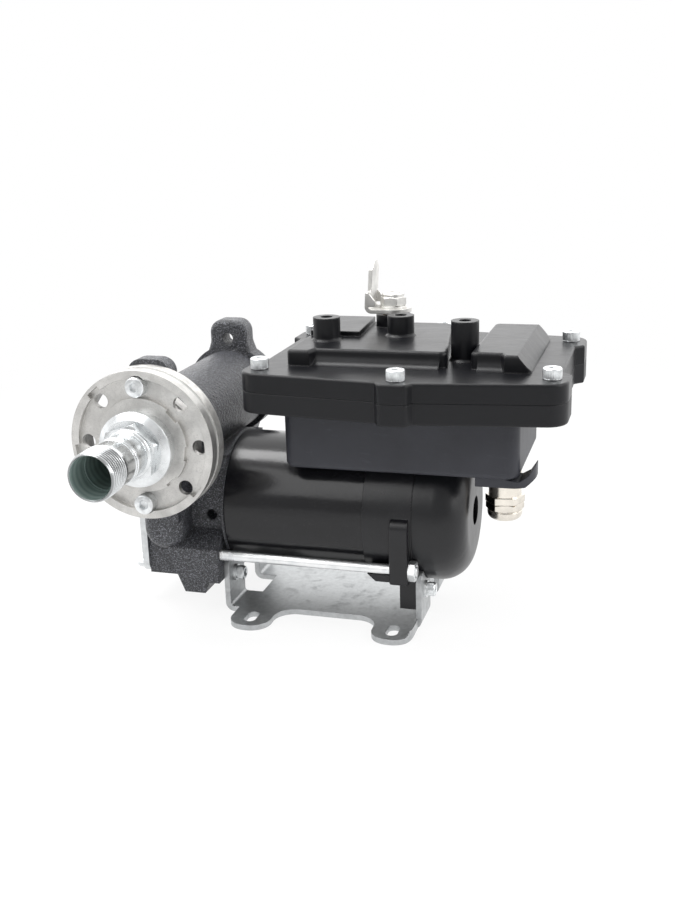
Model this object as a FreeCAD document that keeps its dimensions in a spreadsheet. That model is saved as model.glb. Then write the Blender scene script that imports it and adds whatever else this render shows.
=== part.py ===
import FreeCAD, Part
import math
import os
from types import SimpleNamespace

import Sketcher
from FreeCAD import Placement, Rotation, Vector

# Electric transfer pump for fuel, in millimetres.
# +X runs along the motor to its domed end, +Y away from the inlet, +Z up.
# The origin lies on the underside of the bracket, midway between its four slots.

SIZES = [
    # name, value, what it is
    ("fit_gap", 0.05, "radial clearance of parts that are fitted together"),
    ("run_gap", 0.02, "radial clearance of a bearing seat"),
    ("clear_gap", 0.3, "clearance beside a part that only passes"),
    ("screw_gap", 0.3, "radial clearance of a screw in a plain hole"),
    # screws
    ("small_screw_r", 3, "radius of the small cap screws"),
    ("small_head_r", 5, "radius of their heads"),
    ("small_head", 6, "height of their heads"),
    ("small_socket", 5, "across flats of their sockets"),
    ("large_screw_r", 4, "radius of the flange screws"),
    ("large_head_r", 7, "radius of their heads"),
    ("large_head", 8, "height of their heads"),
    ("large_socket", 6, "across flats of their sockets"),
    ("lid_head_r", 6.2, "radius of the lid screws' heads"),
    ("lid_head", 7.5, "height of the lid screws' heads"),
    ("head_gap", 0.5, "clearance of a screw head in its pocket"),
    ("socket_depth", 3.2, "depth of a screw socket"),
    ("washer_r", 6, "outer radius of a small washer"),
    ("washer_thick", 1.6, "thickness of a small washer"),
    # motor tube and its ends
    ("motor_z", 75.5, "height of the motor axis"),
    ("tube_r", 50, "outer radius of the motor tube"),
    ("tube_wall", 3, "wall of the motor tube"),
    ("tube_left", -74, "pump end of the motor tube"),
    ("tube_length", 103, "length of the motor tube"),
    ("plate_thick", 6, "thickness of the disc at the pump end"),
    ("plate_hole_r", 20, "radius of the hole in that disc"),
    ("bell_proud", 1.3, "reach of the end bell over the tube"),
    ("bell_wall", 4.3, "wall of the end bell"),
    ("bell_length", 35, "length of the end bell"),
    ("bell_spigot", 6, "length of the bell's spigot in the tube"),
    ("bell_spigot_wall", 2.45, "wall of that spigot"),
    ("bell_web", 4, "thickness of the web with the rear bearing"),
    ("bell_boss_r", 21, "radius of the boss round the rear bearing"),
    ("bell_shaft_gap", 1, "clearance of the shaft in the web"),
    ("cap_shy", 0.3, "set back of the end cap under the bell"),
    ("cap_length", 36, "length of the end cap"),
    ("cap_wall", 2.5, "wall of the end cap"),
    ("cap_edge_r", 22, "rounding of the end cap"),
    ("cap_hole_r", 10.5, "radius of the hole in the end cap"),
    ("cap_spigot", 2, "length of the cap's spigot in the bell"),
    # tie rods
    ("rod_off", 8, "distance of the rods from the motor tube"),
    ("rod_tilt", 31.2, "angle of the front rod below the horizontal, degrees"),
    ("rod_r", 3.55, "radius of the plain shank"),
    ("rod_thread_r", 4, "radius of the threaded ends"),
    ("rod_gap", 0.1, "radial clearance of a rod in its ear"),
    ("rod_grip", 16, "length of rod in the pump body"),
    ("rod_thread", 28, "length of the thread at the pump end"),
    ("rod_end", 6, "length of rod past the ear"),
    ("rod_end_thread", 11, "length of the thread at the nut"),
    ("nut_across", 13, "across flats of a rod nut"),
    ("nut_height", 5.2, "height of a rod nut"),
    ("ear_thick", 13, "thickness of a rod ear along the motor"),
    ("ear_set_back", 1.8, "distance of an ear's face from the end of the bell"),
    ("ear_margin", 6.4, "metal of an ear beyond the rod axis"),
    ("ear_below", 9.5, "reach of an ear past the rod, away from the motor axis"),
    ("ear_above", 38.5, "reach of an ear past the rod, towards the motor axis"),
    ("ear_curl", 8, "rounding of that end"),
    ("ear_edge_r", 1.5, "rounding of an ear's edges towards the tube"),
    ("ear_inner", 10, "reach of an ear past the rod, across the motor"),
    ("rib_long", 17, "length of the rib behind an ear"),
    ("rib_thick", 5.4, "thickness of that rib"),
    ("rib_slope", 6, "slope of the rib's end"),
    ("lug_thick", 12, "thickness of a foot lug along the motor"),
    ("lug_proud", 2, "reach of a foot lug past the end of the bell"),
    ("lug_inner", 22, "inner edge of a foot lug"),
    ("lug_outer", 44, "outer edge of a foot lug"),
    ("lug_bottom", 14, "bottom of a foot lug"),
    ("lug_top", 44, "top of a foot lug"),
    ("lug_slope", 8, "height of the sloping shoulder of a foot lug"),
    # inside the motor
    ("air_gap", 1, "gap between magnets and armature"),
    ("magnet_thick", 6, "thickness of the magnets"),
    ("magnet_left", -50, "pump end of the magnets"),
    ("magnet_length", 60, "length of the magnets"),
    ("magnet_split", 34, "width of the gap between the two magnets"),
    ("core_left", -48, "pump end of the armature core"),
    ("core_length", 56, "length of the armature core"),
    ("winding_length", 12, "length of a winding head"),
    ("winding_shy", 4, "set back of a winding head under the core"),
    ("winding_bore", 10, "inner radius of a winding head"),
    ("commutator_r", 16, "radius of the commutator"),
    ("commutator_left", 24, "pump end of the commutator"),
    ("commutator_length", 18, "length of the commutator"),
    ("brush_plate_left", 44, "pump side of the brush plate"),
    ("brush_plate_thick", 3, "thickness of the brush plate"),
    ("brush_wide", 8, "width of a brush across the motor"),
    ("brush_long", 10, "width of a brush along the motor"),
    ("brush_tall", 16, "height of a brush"),
    ("brush_left", 28, "pump side of a brush"),
    ("brush_gap", 0.1, "clearance of a brush in its holder"),
    ("holder_wall", 3.4, "side wall of a brush holder"),
    ("holder_end_wall", 1.4, "wall of a brush holder towards the pump"),
    ("holder_inner", 18, "inner end of a brush holder"),
    ("holder_shy", 4, "set back of a holder's outer end in the bell"),
    ("holder_cap", 2, "thickness of the closed end of a brush holder"),
    ("brush_spring_r", 3.6, "outer radius of a brush spring"),
    ("brush_spring_bore", 2.4, "inner radius of a brush spring"),
    # shaft and ball bearings
    ("shaft_r", 6, "radius of the drive shaft"),
    ("shaft_left", -139, "pump end of the drive shaft"),
    ("bearing_r", 16, "outer radius of a ball bearing"),
    ("bearing_wide", 10, "width of a ball bearing"),
    ("bearing_ring", 2.8, "thickness of a bearing ring"),
    ("ball_r", 2.97, "radius of a bearing ball"),
    ("ball_gap", 0.05, "clearance of a ball in its groove"),
    ("ball_count", 8, "balls in one bearing"),
    # pump body
    ("body_left", -141, "cover face of the pump body"),
    ("seat_thick", 4, "motor seat that stands proud of the body"),
    ("seat_rim", 1.5, "thickness of the round rim on the seat"),
    ("seat_proud", 1.3, "reach of that rim over the tube"),
    ("seat_bottom", 48, "bottom of the motor seat"),
    ("body_half", 38, "half width of the pump body"),
    ("body_bottom", 22, "bottom of the block"),
    ("body_top", 118, "top of the block"),
    ("port_x", -112.5, "port axis along the motor"),
    ("port_z", 139.5, "height of the port axis"),
    ("neck_r", 31.5, "radius of the port neck"),
    ("neck_front", -74.5, "inlet end of the port neck"),
    ("neck_back", 87, "outlet end of the port neck"),
    ("port_ear_half", 15.5, "half width of a port ear"),
    ("port_ear_reach", 55.5, "reach of a port ear from the port axis"),
    ("port_disc_r", 35.5, "radius of the disc between two port ears"),
    ("port_ear_thick", 16, "thickness of a port ear"),
    ("port_ear_round", 10, "rounding of a port ear"),
    ("port_ear_flare", 4, "widening of a port ear at the disc"),
    ("ear_flare_top", 38, "start of that widening, from the port axis"),
    ("ear_flare_low", 27, "end of that widening, from the port axis"),
    ("port_ear_edge_r", 4, "rounding of a port ear's inner edges"),
    ("port_bolt_r", 41.2, "radius of the flange bolt circle"),
    ("port_hole_r", 5.1, "radius of the flange holes"),
    ("outlet_hole_r", 4.5, "radius of the holes in the rear ears"),
    ("outlet_hole_deep", 28, "depth of the lower one"),
    ("port_bore_r", 14, "radius of the port bores"),
    ("bypass_wall", 16, "wall between the two port bores"),
    ("bypass_hole_r", 6.5, "radius of the bypass hole"),
    ("web_half", 7.5, "half width of the web under the neck"),
    ("web_front", -60, "front of the web under the neck"),
    ("passage_r", 7, "radius of the two upright passages"),
    ("passage_x", -127, "place of the passages along the motor"),
    ("passage_y", 20, "distance of a passage from the middle"),
    ("chamber_r", 26, "radius of the vane chamber"),
    ("chamber_z", 72, "height of the vane chamber's axis"),
    ("chamber_deep", 28, "depth of the vane chamber"),
    ("land_gap", 0.06, "clearance of the shaft in the body"),
    ("seal_r", 13, "radius of the shaft seal"),
    ("seal_wide", 8, "width of the shaft seal"),
    ("seal_pocket", 14, "depth of the seal pocket behind the bearing"),
    ("foot_left", -116.5, "left corner of a lower lug"),
    ("foot_left_z", 45, "height of that corner"),
    ("foot_toe_left", -105.3, "left corner of the cross toe"),
    ("foot_toe_right", -89.5, "right corner of the cross toe"),
    ("foot_toe_z", 17, "bottom of the cross toe"),
    ("foot_step_x", -86, "start of a lug's level underside"),
    ("foot_step_z", 25.5, "height of that underside"),
    ("foot_top", 51, "top of a lower lug"),
    ("foot_outer", 56, "outer face of a lower lug"),
    ("shelf_top", 61.5, "top of the sloping shelf over a lug"),
    ("low_boss_x", -120, "place of the barrel under the inlet"),
    ("low_boss_r", 16, "half width of that barrel"),
    ("low_boss_bottom", 48, "bottom of that barrel"),
    ("low_boss_top", 104, "top of that barrel, behind the flange"),
    ("low_boss_front", -58, "front of that barrel"),
    ("low_boss_round", 9, "rounding of its front"),
    ("tap_x", -88.2, "place of the blind front hole"),
    ("tap_z", 72, "height of the blind front hole"),
    ("tap_r", 4, "radius of the blind front hole"),
    ("tap_deep", 10, "depth of the blind front hole"),
    ("rod_boss_r", 6.5, "radius of a rod boss"),
    ("rod_boss_long", 17, "length of a rod boss"),
    ("cover_thick", 5, "thickness of the pump cover"),
    ("cover_half", 40, "half width of the pump cover"),
    ("cover_bottom", 22, "bottom of the pump cover"),
    ("cover_top", 112, "top of the pump cover"),
    ("cover_round", 8, "rounding of the pump cover"),
    ("cover_screw_y", 33, "distance of the cover screws from the middle"),
    ("cover_screw_low", 29, "height of the lower cover screws"),
    ("cover_screw_high", 105, "height of the upper cover screws"),
    ("cover_screw_grip", 12, "length of a cover screw in the body"),
    ("cover_seal_r", 31.5, "outer radius of the cover seal"),
    ("cover_seal_wide", 2.5, "width of the cover seal"),
    ("cover_seal_deep", 2, "thickness of the cover seal"),
    # rotor and bypass
    ("rotor_r", 21, "radius of the rotor"),
    ("rotor_gap", 0.1, "end clearance of the rotor"),
    ("vane_count", 5, "number of vanes"),
    ("vane_thick", 2.4, "thickness of a vane"),
    ("vane_gap", 0.05, "clearance of a vane in its slot"),
    ("vane_inner", 10, "bottom of a vane's slot"),
    ("vane_tip", 22.2, "reach of a vane when pushed in"),
    ("poppet_r", 9, "radius of the bypass valve"),
    ("poppet_thick", 4, "thickness of its head"),
    ("poppet_stem_r", 3, "radius of its stem"),
    ("poppet_stem", 26, "length of its stem"),
    ("retainer_gap", 20.7, "length of the bypass spring"),
    ("retainer_thick", 3, "thickness of the spring retainer"),
    ("retainer_hole_r", 2.6, "radius of a flow hole in the retainer"),
    ("bypass_spring_r", 6, "outer radius of the bypass spring"),
    ("bypass_spring_bore", 4.2, "inner radius of the bypass spring"),
    ("strainer_r", 13.9, "outer radius of the strainer cup"),
    ("strainer_wall", 1, "wall of the strainer cup"),
    ("strainer_long", 24, "length of the strainer cup"),
    ("strainer_set_back", 2.5, "distance of the strainer from the neck's end"),
    # inlet flange and nipple
    ("flange_r", 52.2, "outer radius of the inlet flange"),
    ("backing_thick", 9, "thickness of the ring behind the gasket"),
    ("backing_bore", 14, "bore of that ring"),
    ("window_inner", 36, "inner edge of the ring's windows"),
    ("window_half", 17, "half width of the bar between its windows"),
    ("gasket_shy", 0.4, "set back of the gasket under the flange"),
    ("gasket_thick", 3, "thickness of the gasket"),
    ("flange_web", 4, "thickness of the flange between rim and hub"),
    ("flange_rim", 8, "thickness of the flange rim"),
    ("flange_hub", 7, "thickness of the flange hub"),
    ("flange_rim_inner", 46.6, "inner radius of the flange rim"),
    ("hub_r", 33, "outer radius of the hub ring"),
    ("hub_notch", 10, "width of a notch in the hub ring"),
    ("hub_notch_deep", 2.2, "depth of a notch in the hub ring"),
    ("flange_holes", 8, "holes in the flange"),
    ("inlet_screw_grip", 14, "length of a flange screw in the port ear"),
    ("nipple_seal_r", 23.8, "outer radius of the nipple seal"),
    ("nipple_seal_thick", 1.5, "thickness of the nipple seal"),
    ("collar_r", 26.3, "radius of the collar's rim"),
    ("collar_long", 14.5, "length of the collar"),
    ("collar_base", 8.5, "length of the collar's base behind its rim"),
    ("collar_base_r", 24.4, "radius of that base"),
    ("collar_lip", 2.5, "length of the rim's upright edge"),
    ("collar_top_r", 21.5, "radius of the collar at the hexagon"),
    ("hex_across", 36, "across flats of the nipple"),
    ("hex_long", 7, "length of the nipple's hexagon"),
    ("nipple_neck_r", 16, "radius of the nipple's neck"),
    ("nipple_neck_long", 34, "length of the nipple's neck"),
    ("port_thread_r", 16.62, "radius of the inlet thread"),
    ("port_thread_long", 18, "length of the inlet thread"),
    ("port_chamfer", 1.3, "chamfer of the inlet thread"),
    ("nipple_bore_r", 14.4, "bore of the nipple"),
    ("nipple_spigot_r", 17, "radius of the nipple in the flange"),
    # bracket
    ("sheet_thick", 4, "thickness of the bracket sheet"),
    ("bend_r", 2.5, "inner radius of the bends"),
    ("upright_outer", 46, "outer edge of the upturned ears"),
    ("upright_inner", 16, "inner edge of the upturned ears"),
    ("upright_top", 42, "top of the upturned ears"),
    ("upright_round", 9, "rounding of the upturned ears"),
    ("window_deep", 18, "depth of the window between two ears"),
    ("pad_x", 52.5, "place of a foot along the motor"),
    ("pad_wide", 30, "width of a foot"),
    ("pad_reach", 75, "reach of a foot from the middle"),
    ("pad_round", 14, "rounding of a foot"),
    ("root_round", 15, "rounding between a foot and the sheet's edge"),
    ("arch_y", 41, "edge of the sheet between the feet"),
    ("slot_y", 60, "distance of a slot from the middle"),
    ("slot_wide", 8.5, "width of a slot"),
    ("slot_long", 16.5, "length of a slot"),
    ("bracket_screw_y", 33, "distance of the bracket screws from the middle"),
    ("bracket_screw_z", 26, "height of the bracket screws"),
    ("bracket_screw_grip", 9, "length of a bracket screw in its lug"),
    # switch box tub
    ("box_x", 61, "middle of the switch box along the motor"),
    ("tub_left", -26, "pump end of the tub"),
    ("tub_right", 137, "far end of the tub"),
    ("tub_half", 52, "half width of the tub"),
    ("tub_floor", 116, "underside of the tub"),
    ("tub_wall", 4, "wall of the tub"),
    ("tub_round", 9, "rounding of the tub's upright corners"),
    ("tub_edge_r", 4, "rounding of the tub's lower edge"),
    ("saddle_gap", 0.3, "clearance of the tub over the end bell"),
    ("saddle_end", 1.5, "reach of the saddle past the end cap"),
    ("rim_bottom", 161, "underside of the tub's rim"),
    ("rim_top", 175.5, "joint between tub and lid"),
    ("rim_half", 108.5, "half length of rim and lid"),
    ("rim_recess", 6, "recess of the ends between the corner bosses"),
    ("rim_corner_y", 76.5, "front edge at the corners"),
    ("rim_middle_y", 88, "front edge beside the middle boss"),
    ("rim_boss_off", 1.3, "place of the middle boss past the box middle"),
    ("rim_boss_y", 94, "front of the middle boss"),
    ("rim_boss_half", 9, "half width of the middle boss's front"),
    ("rim_boss_foot", 12.5, "half width of the middle boss at its foot"),
    ("rim_recess_y", 40, "half length of the recess in the ends"),
    ("rim_round", 14, "rounding of the rim's corners"),
    ("rim_cavity_half", 62, "half width of the hollow at the rim"),
    ("rim_cavity_end", 23, "rim left beside that hollow"),
    ("lid_screw_in", 11, "distance of the corner screws from the ends of the rim"),
    ("lid_screw_y", 61, "distance of the corner screws from the axis"),
    ("lid_screw_mid", 81.2, "distance of the middle screws from the axis"),
    ("lid_screw_grip", 11, "length of a lid screw in the rim"),
    ("lid_gasket_wide", 3, "width of the lid gasket"),
    ("lid_gasket_deep", 2, "thickness of the lid gasket"),
    ("saddle_pad_left", -20, "pump end of the rubber pad"),
    ("saddle_pad_long", 45, "length of the rubber pad"),
    ("saddle_pad_half", 29, "half width of the rubber pad"),
    ("mount_screw_first", -8, "first screw between tub and motor"),
    ("mount_screw_pitch", 20, "distance between those two screws"),
    ("mount_screw_r", 2.5, "radius of those screws"),
    ("mount_head_r", 4.5, "radius of their heads"),
    ("mount_head", 3, "height of their heads"),
    ("lip_left", 108, "start of the lip under the tub's far end"),
    ("lip_right", 147, "tip of that lip"),
    ("lip_bottom", 110.5, "underside of that lip"),
    ("lip_top", 125, "tip height of that lip"),
    ("lip_front", -50, "front of that lip"),
    ("lip_wide", 22, "width of that lip"),
    ("lip_round", 16, "rounding of that lip's corner"),
    # lid
    ("lid_rim_top", 188.5, "top of the lid's rim"),
    ("lid_wall", 4, "wall of the lid"),
    ("deck_top", 199.4, "top of the raised deck"),
    ("deck_left", -21.5, "left edge of the raised deck"),
    ("deck_right", 144, "right edge of the right block"),
    ("deck_front", -43.5, "front wall of the raised deck"),
    ("deck_back", 62, "rear wall of the raised deck"),
    ("deck_end_front", 88, "right edge of the deck at its front"),
    ("deck_end_back", 71, "right edge of the deck at its back"),
    ("deck_round", 5, "rounding of the deck's upright corners"),
    ("deck_edge_r", 2.5, "rounding of the deck's upper edges"),
    ("rim_edge_r", 1.5, "rounding of the outer edges of both rims"),
    ("joint_edge_r", 0.4, "rounding of both rims at their joint"),
    ("step_front", -50.5, "front of the two forward blocks"),
    ("step_right", -5, "right edge of the left block"),
    ("block_left", 103.2, "left edge of the right block"),
    ("block_step", 126.5, "left edge of its forward part"),
    ("block_rise", 0.6, "height of the right block over the deck"),
    ("block_slope", 9, "slope at the far end of the right block"),
    ("cove_r", 8.5, "radius of the cove at the foot of the front walls"),
    ("cove_sink", 0.25, "depth of that cove's arc under the rim"),
    ("panel_front", 1, "front edge of the raised rear panel"),
    ("panel_right", 16.5, "right edge of the raised rear panel"),
    ("panel_rise", 3.6, "height of the raised rear panel"),
    ("turret_r", 9.5, "radius of the three short cylinders"),
    ("turret_foot", 1.6, "reach of the collar at a cylinder's foot"),
    ("turret_hole_r", 4.2, "radius of their blind holes"),
    ("turret_hole_deep", 9, "depth of their blind holes"),
    ("left_turret_x", -3.5, "left cylinder along the motor"),
    ("left_turret_y", -12, "left cylinder across the motor"),
    ("left_turret_top", 215.5, "top of the left cylinder"),
    ("mid_turret_x", 44.3, "middle cylinder along the motor"),
    ("mid_turret_y", 10.5, "middle cylinder across the motor"),
    ("mid_turret_top", 213.8, "top of the middle cylinder"),
    ("right_turret_x", 94.5, "right cylinder along the motor"),
    ("right_turret_y", -13.5, "right cylinder across the motor"),
    ("right_turret_top", 215.5, "top of the right cylinder"),
    # lever and switch
    ("lever_x", 30, "lever shaft along the motor"),
    ("lever_y", 47, "lever shaft across the motor"),
    ("lever_shaft_r", 5, "radius of the lever shaft"),
    ("lever_shaft_top", 223.3, "top of the lever shaft"),
    ("lever_shaft_bottom", 166, "bottom of the lever shaft"),
    ("shoulder_r", 7.5, "radius of the shoulder under the lever"),
    ("bush_wall", 3, "wall of the shaft bush"),
    ("neck_wall", 4.6, "wall of the lid's collar round the bush"),
    ("neck_top", 208, "top of that collar"),
    ("lever_bottom", 210, "underside of the lever's foot"),
    ("lever_sheet", 3, "thickness of the lever's sheet"),
    ("lever_left", 11.4, "outer face of the lever's blade"),
    ("lever_lean", 2.2, "lean of the blade at its top"),
    ("lever_wide", 27, "width of the lever"),
    ("lever_tall", 37, "height of the lever"),
    ("lever_peak", 6, "height of the blade's sloping shoulders"),
    ("lever_set_back", 8, "how far the blade is narrower than the foot"),
    ("lever_bend_r", 2, "inner radius of the lever's bend"),
    ("lever_rim", 5, "depth of the blade's side rims"),
    ("lever_rim_tall", 12, "height of the blade's side rims over the foot"),
    ("lever_rim_thick", 2, "thickness of the blade's side rims"),
    ("lever_washer_r", 10, "radius of the lever's washer"),
    ("lever_washer_thick", 1.5, "thickness of the lever's washer"),
    ("lever_nut_across", 17, "across flats of the lever's nut"),
    ("lever_nut_tall", 9.4, "height of the lever's nut"),
    ("cam_r", 10, "smallest radius of the cam"),
    ("cam_lift", 1.5, "lift of the cam"),
    ("cam_bottom", 168, "underside of the cam"),
    ("cam_thick", 8, "thickness of the cam"),
    ("plunger_r", 1.5, "radius of the switch plunger"),
    ("plunger_long", 10, "length of the switch plunger"),
    ("plunger_z", 171, "height of the switch plunger"),
    ("switch_left", 46, "near end of the switch"),
    ("switch_long", 26, "length of the switch"),
    ("switch_wide", 12, "width of the switch"),
    ("switch_tall", 10, "height of the switch"),
    # control board
    ("board_z", 140, "underside of the control board"),
    ("board_thick", 1.6, "thickness of the control board"),
    ("board_margin", 3, "gap between the board and the walls of the tub"),
    ("board_long", 116, "length of the control board"),
    ("post_r", 3.5, "radius of a post under the board"),
    ("post_x", 5, "distance of a post from the board's end"),
    ("post_y", 4, "distance of a post from the board's side"),
    ("block_x", 60, "near end of the terminal block"),
    ("block_long", 30, "length of the terminal block"),
    ("block_wide", 40, "width of the terminal block"),
    ("block_tall", 16, "height of the terminal block"),
    # cable gland
    ("gland_x", 121, "gland axis along the motor"),
    ("gland_thread_r", 10, "radius of the gland's upper thread"),
    ("gland_neck_r", 11.5, "radius of the gland's neck"),
    ("gland_neck", 26.5, "length of the gland's neck"),
    ("gland_across", 24, "across flats of the gland's hexagon"),
    ("gland_hex", 5, "height of the gland's hexagon"),
    ("gland_lower_r", 9.3, "radius of the gland's lower thread"),
    ("gland_lower", 8, "length of the gland's lower thread"),
    ("gland_bore_r", 6.5, "bore of the gland"),
    ("dome_r", 12.35, "radius of the dome nut"),
    ("dome_tall", 12.8, "height of the dome nut"),
    ("dome_round", 5, "rounding of the dome nut"),
    ("dome_floor", 3, "floor of the dome nut"),
    ("cable_r", 5, "bore of the rubber seal"),
    ("locknut_across", 22, "across flats of the locknut"),
    ("locknut_tall", 5, "height of the locknut"),
]


class Size:
    """A length or angle of the pump: its formula over the sheet's cells and its value."""

    def __init__(self, text, value):
        self.text = text
        self.value = float(value)

    def __add__(self, other):
        other = size(other)
        return Size("(%s + %s)" % (self.text, other.text), self.value + other.value)

    def __sub__(self, other):
        other = size(other)
        return Size("(%s - %s)" % (self.text, other.text), self.value - other.value)

    def __mul__(self, other):
        other = size(other)
        return Size("(%s * %s)" % (self.text, other.text), self.value * other.value)

    def __truediv__(self, other):
        other = size(other)
        return Size("(%s / %s)" % (self.text, other.text), self.value / other.value)

    def __radd__(self, other):
        return size(other) + self

    def __rsub__(self, other):
        return size(other) - self

    def __rmul__(self, other):
        return size(other) * self

    def __rtruediv__(self, other):
        return size(other) / self

    def __neg__(self):
        return Size("(0 - %s)" % self.text, -self.value)


def size(item):
    if isinstance(item, Size):
        return item
    return Size("(%.10g)" % item, item)


def sine(angle):
    angle = size(angle)
    return Size("sin(%s)" % angle.text, math.sin(math.radians(angle.value)))


def cosine(angle):
    angle = size(angle)
    return Size("cos(%s)" % angle.text, math.cos(math.radians(angle.value)))


doc = FreeCAD.newDocument("FuelPump")
sheet = doc.addObject("Spreadsheet::Sheet", "sizes")
S = SimpleNamespace()
for row, (alias, value, meaning) in enumerate(SIZES, 1):
    sheet.set("A%d" % row, alias)
    sheet.set("B%d" % row, str(value))
    sheet.setAlias("B%d" % row, alias)
    sheet.set("C%d" % row, meaning)
    setattr(S, alias, Size("sizes." + alias, value))
doc.recompute()

LIE_TURNS = {
    "x": Rotation(Vector(0, 1, 0), 90),
    "y": Rotation(Vector(1, 0, 0), -90),
    "z": Rotation(),
}
PAD_TURNS = {
    "x": Rotation(Vector(1, 1, 1), 120),
    "y": Rotation(Vector(1, 0, 0), 90),
    "z": Rotation(),
}
SPIN_TURNS = {
    "x": Rotation(),
    "y": Rotation(Vector(0, 0, 1), 90),
    "z": Rotation(Vector(0, 1, 0), -90),
}
AXES = {"x": Vector(1, 0, 0), "y": Vector(0, 1, 0), "z": Vector(0, 0, 1)}
NODES = {}


def bind(item, prop, length):
    item.setExpression(prop, size(length).text)


def place(item, spot, turn=None):
    item.Placement = Placement(Vector(0, 0, 0), turn or Rotation())
    for letter, length in zip("xyz", spot):
        bind(item, "Placement.Base." + letter, length)


def spot_on(axis, along, across, up):
    """The point at `along` on the line parallel to an axis; the other two follow in x, y, z order."""
    if axis == "x":
        return along, across, up
    if axis == "y":
        return across, along, up
    return across, up, along


def box(x, y, z, label="Block"):
    item = doc.addObject("Part::Box", label)
    for prop, (low, high) in zip(("Length", "Width", "Height"), (x, y, z)):
        bind(item, prop, size(high) - low)
    place(item, (x[0], y[0], z[0]))
    return item


def rod(axis, radius, low, high, across, up, label="Rod"):
    item = doc.addObject("Part::Cylinder", label)
    bind(item, "Radius", radius)
    bind(item, "Height", size(high) - low)
    place(item, spot_on(axis, low, across, up), LIE_TURNS[axis])
    return item


def cone(axis, low_radius, high_radius, low, high, across, up, label="Cone"):
    item = doc.addObject("Part::Cone", label)
    bind(item, "Radius1", low_radius)
    bind(item, "Radius2", high_radius)
    bind(item, "Height", size(high) - low)
    place(item, spot_on(axis, low, across, up), LIE_TURNS[axis])
    return item


def hexagon(axis, across_flats, low, high, across, up, turn=0, label="Hexagon"):
    item = doc.addObject("Part::Prism", label)
    item.Polygon = 6
    bind(item, "Circumradius", size(across_flats) / 1.7320508)
    bind(item, "Height", size(high) - low)
    place(item, spot_on(axis, low, across, up), Rotation(AXES[axis], turn) * LIE_TURNS[axis])
    return item


def many(kind, prop, items, label):
    items = list(items)
    if len(items) == 1:
        return items[0]
    item = doc.addObject(kind, label)
    setattr(item, prop, items)
    return item


def fuse(*items):
    return many("Part::MultiFuse", "Shapes", items, "Fusion")


def common(*items):
    return many("Part::MultiCommon", "Shapes", items, "Overlap")


def group(*items):
    return many("Part::Compound", "Links", items, "Group")


def cut(base, *tools):
    item = doc.addObject("Part::Cut", "Cut")
    item.Base = base
    item.Tool = fuse(*tools)
    return item


def ring(axis, outer, inner, low, high, across, up):
    return cut(
        rod(axis, outer, low, high, across, up),
        rod(axis, inner, size(low) - 1, size(high) + 1, across, up),
    )


def draw(body, points):
    """A closed outline of straight lines, each corner held by two distances from the origin."""
    sketch = body.newObject("Sketcher::SketchObject", "Outline")
    plane = [item for item in body.Origin.OriginFeatures if item.Role == "XY_Plane"][0]
    sketch.AttachmentSupport = [(plane, "")]
    sketch.MapMode = "FlatFace"
    points = [(size(a), size(b)) for a, b in points]
    corners = [Vector(a.value, b.value, 0) for a, b in points]
    count = len(points)
    sides = [Part.LineSegment(corners[i], corners[(i + 1) % count]) for i in range(count)]
    sketch.addGeometry(sides, False)
    joins = [Sketcher.Constraint("Coincident", i, 2, (i + 1) % count, 1) for i in range(count)]
    sketch.addConstraint(joins)
    for i, pair in enumerate(points):
        for kind, length, line in zip(("DistanceX", "DistanceY"), pair, (-2, -1)):
            if abs(length.value) < 1e-9:
                sketch.addConstraint(Sketcher.Constraint("PointOnObject", i, 1, line))
                continue
            index = sketch.addConstraint(Sketcher.Constraint(kind, -1, 1, i, 1, length.value))
            sketch.setExpression("Constraints[%d]" % index, length.text)
    return sketch


def slab(axis, points, low, high, label="Plate"):
    """A plate square to an axis, with its outline given in the other two coordinates."""
    body = doc.addObject("PartDesign::Body", label)
    pad = body.newObject("PartDesign::Pad", "Pad")
    pad.Profile = draw(body, points)
    bind(pad, "Length", size(high) - low)
    start = high if axis == "y" else low
    place(body, spot_on(axis, start, 0, 0), PAD_TURNS[axis])
    return body


def turned(axis, outline, across, up, label="Turning"):
    """A turned piece; its outline is given as places along the axis and radii."""
    body = doc.addObject("PartDesign::Body", label)
    sketch = draw(body, outline)
    turning = body.newObject("PartDesign::Revolution", "Turning")
    turning.Profile = sketch
    turning.ReferenceAxis = (sketch, ["H_Axis"])
    turning.Angle = 360
    place(body, spot_on(axis, 0, across, up), SPIN_TURNS[axis])
    return body


def round_edges(body, radius, wanted):
    doc.recompute()
    last = body.Tip
    edges = ["Edge%d" % (i + 1) for i, edge in enumerate(last.Shape.Edges) if wanted(edge)]
    rounding = body.newObject("PartDesign::Fillet", "Rounding")
    rounding.Base = (last, edges)
    bind(rounding, "Radius", radius)
    return body


def round_corners(body, radius, corners):
    """Rounds the edges that stand on the given corners of a plate's outline."""
    spots = [(size(a).value, size(b).value) for a, b in corners]

    def stands(edge):
        ends = edge.Vertexes
        if len(ends) != 2 or abs(ends[0].Point.z - ends[1].Point.z) < 1e-6:
            return False
        return any(
            all(math.hypot(end.Point.x - a, end.Point.y - b) < 1e-4 for end in ends)
            for a, b in spots
        )

    return round_edges(body, radius, stands)


def round_end(body, radius, far=True):
    """Rounds the outline's edges at one end of a plate: the end it is padded to, or its start."""
    doc.recompute()
    ends = [vertex.Point.z for vertex in body.Tip.Shape.Vertexes]
    level = max(ends) if far else min(ends)
    return round_edges(body, radius, lambda edge: all(
        abs(vertex.Point.z - level) < 1e-4 for vertex in edge.Vertexes
    ))


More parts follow.
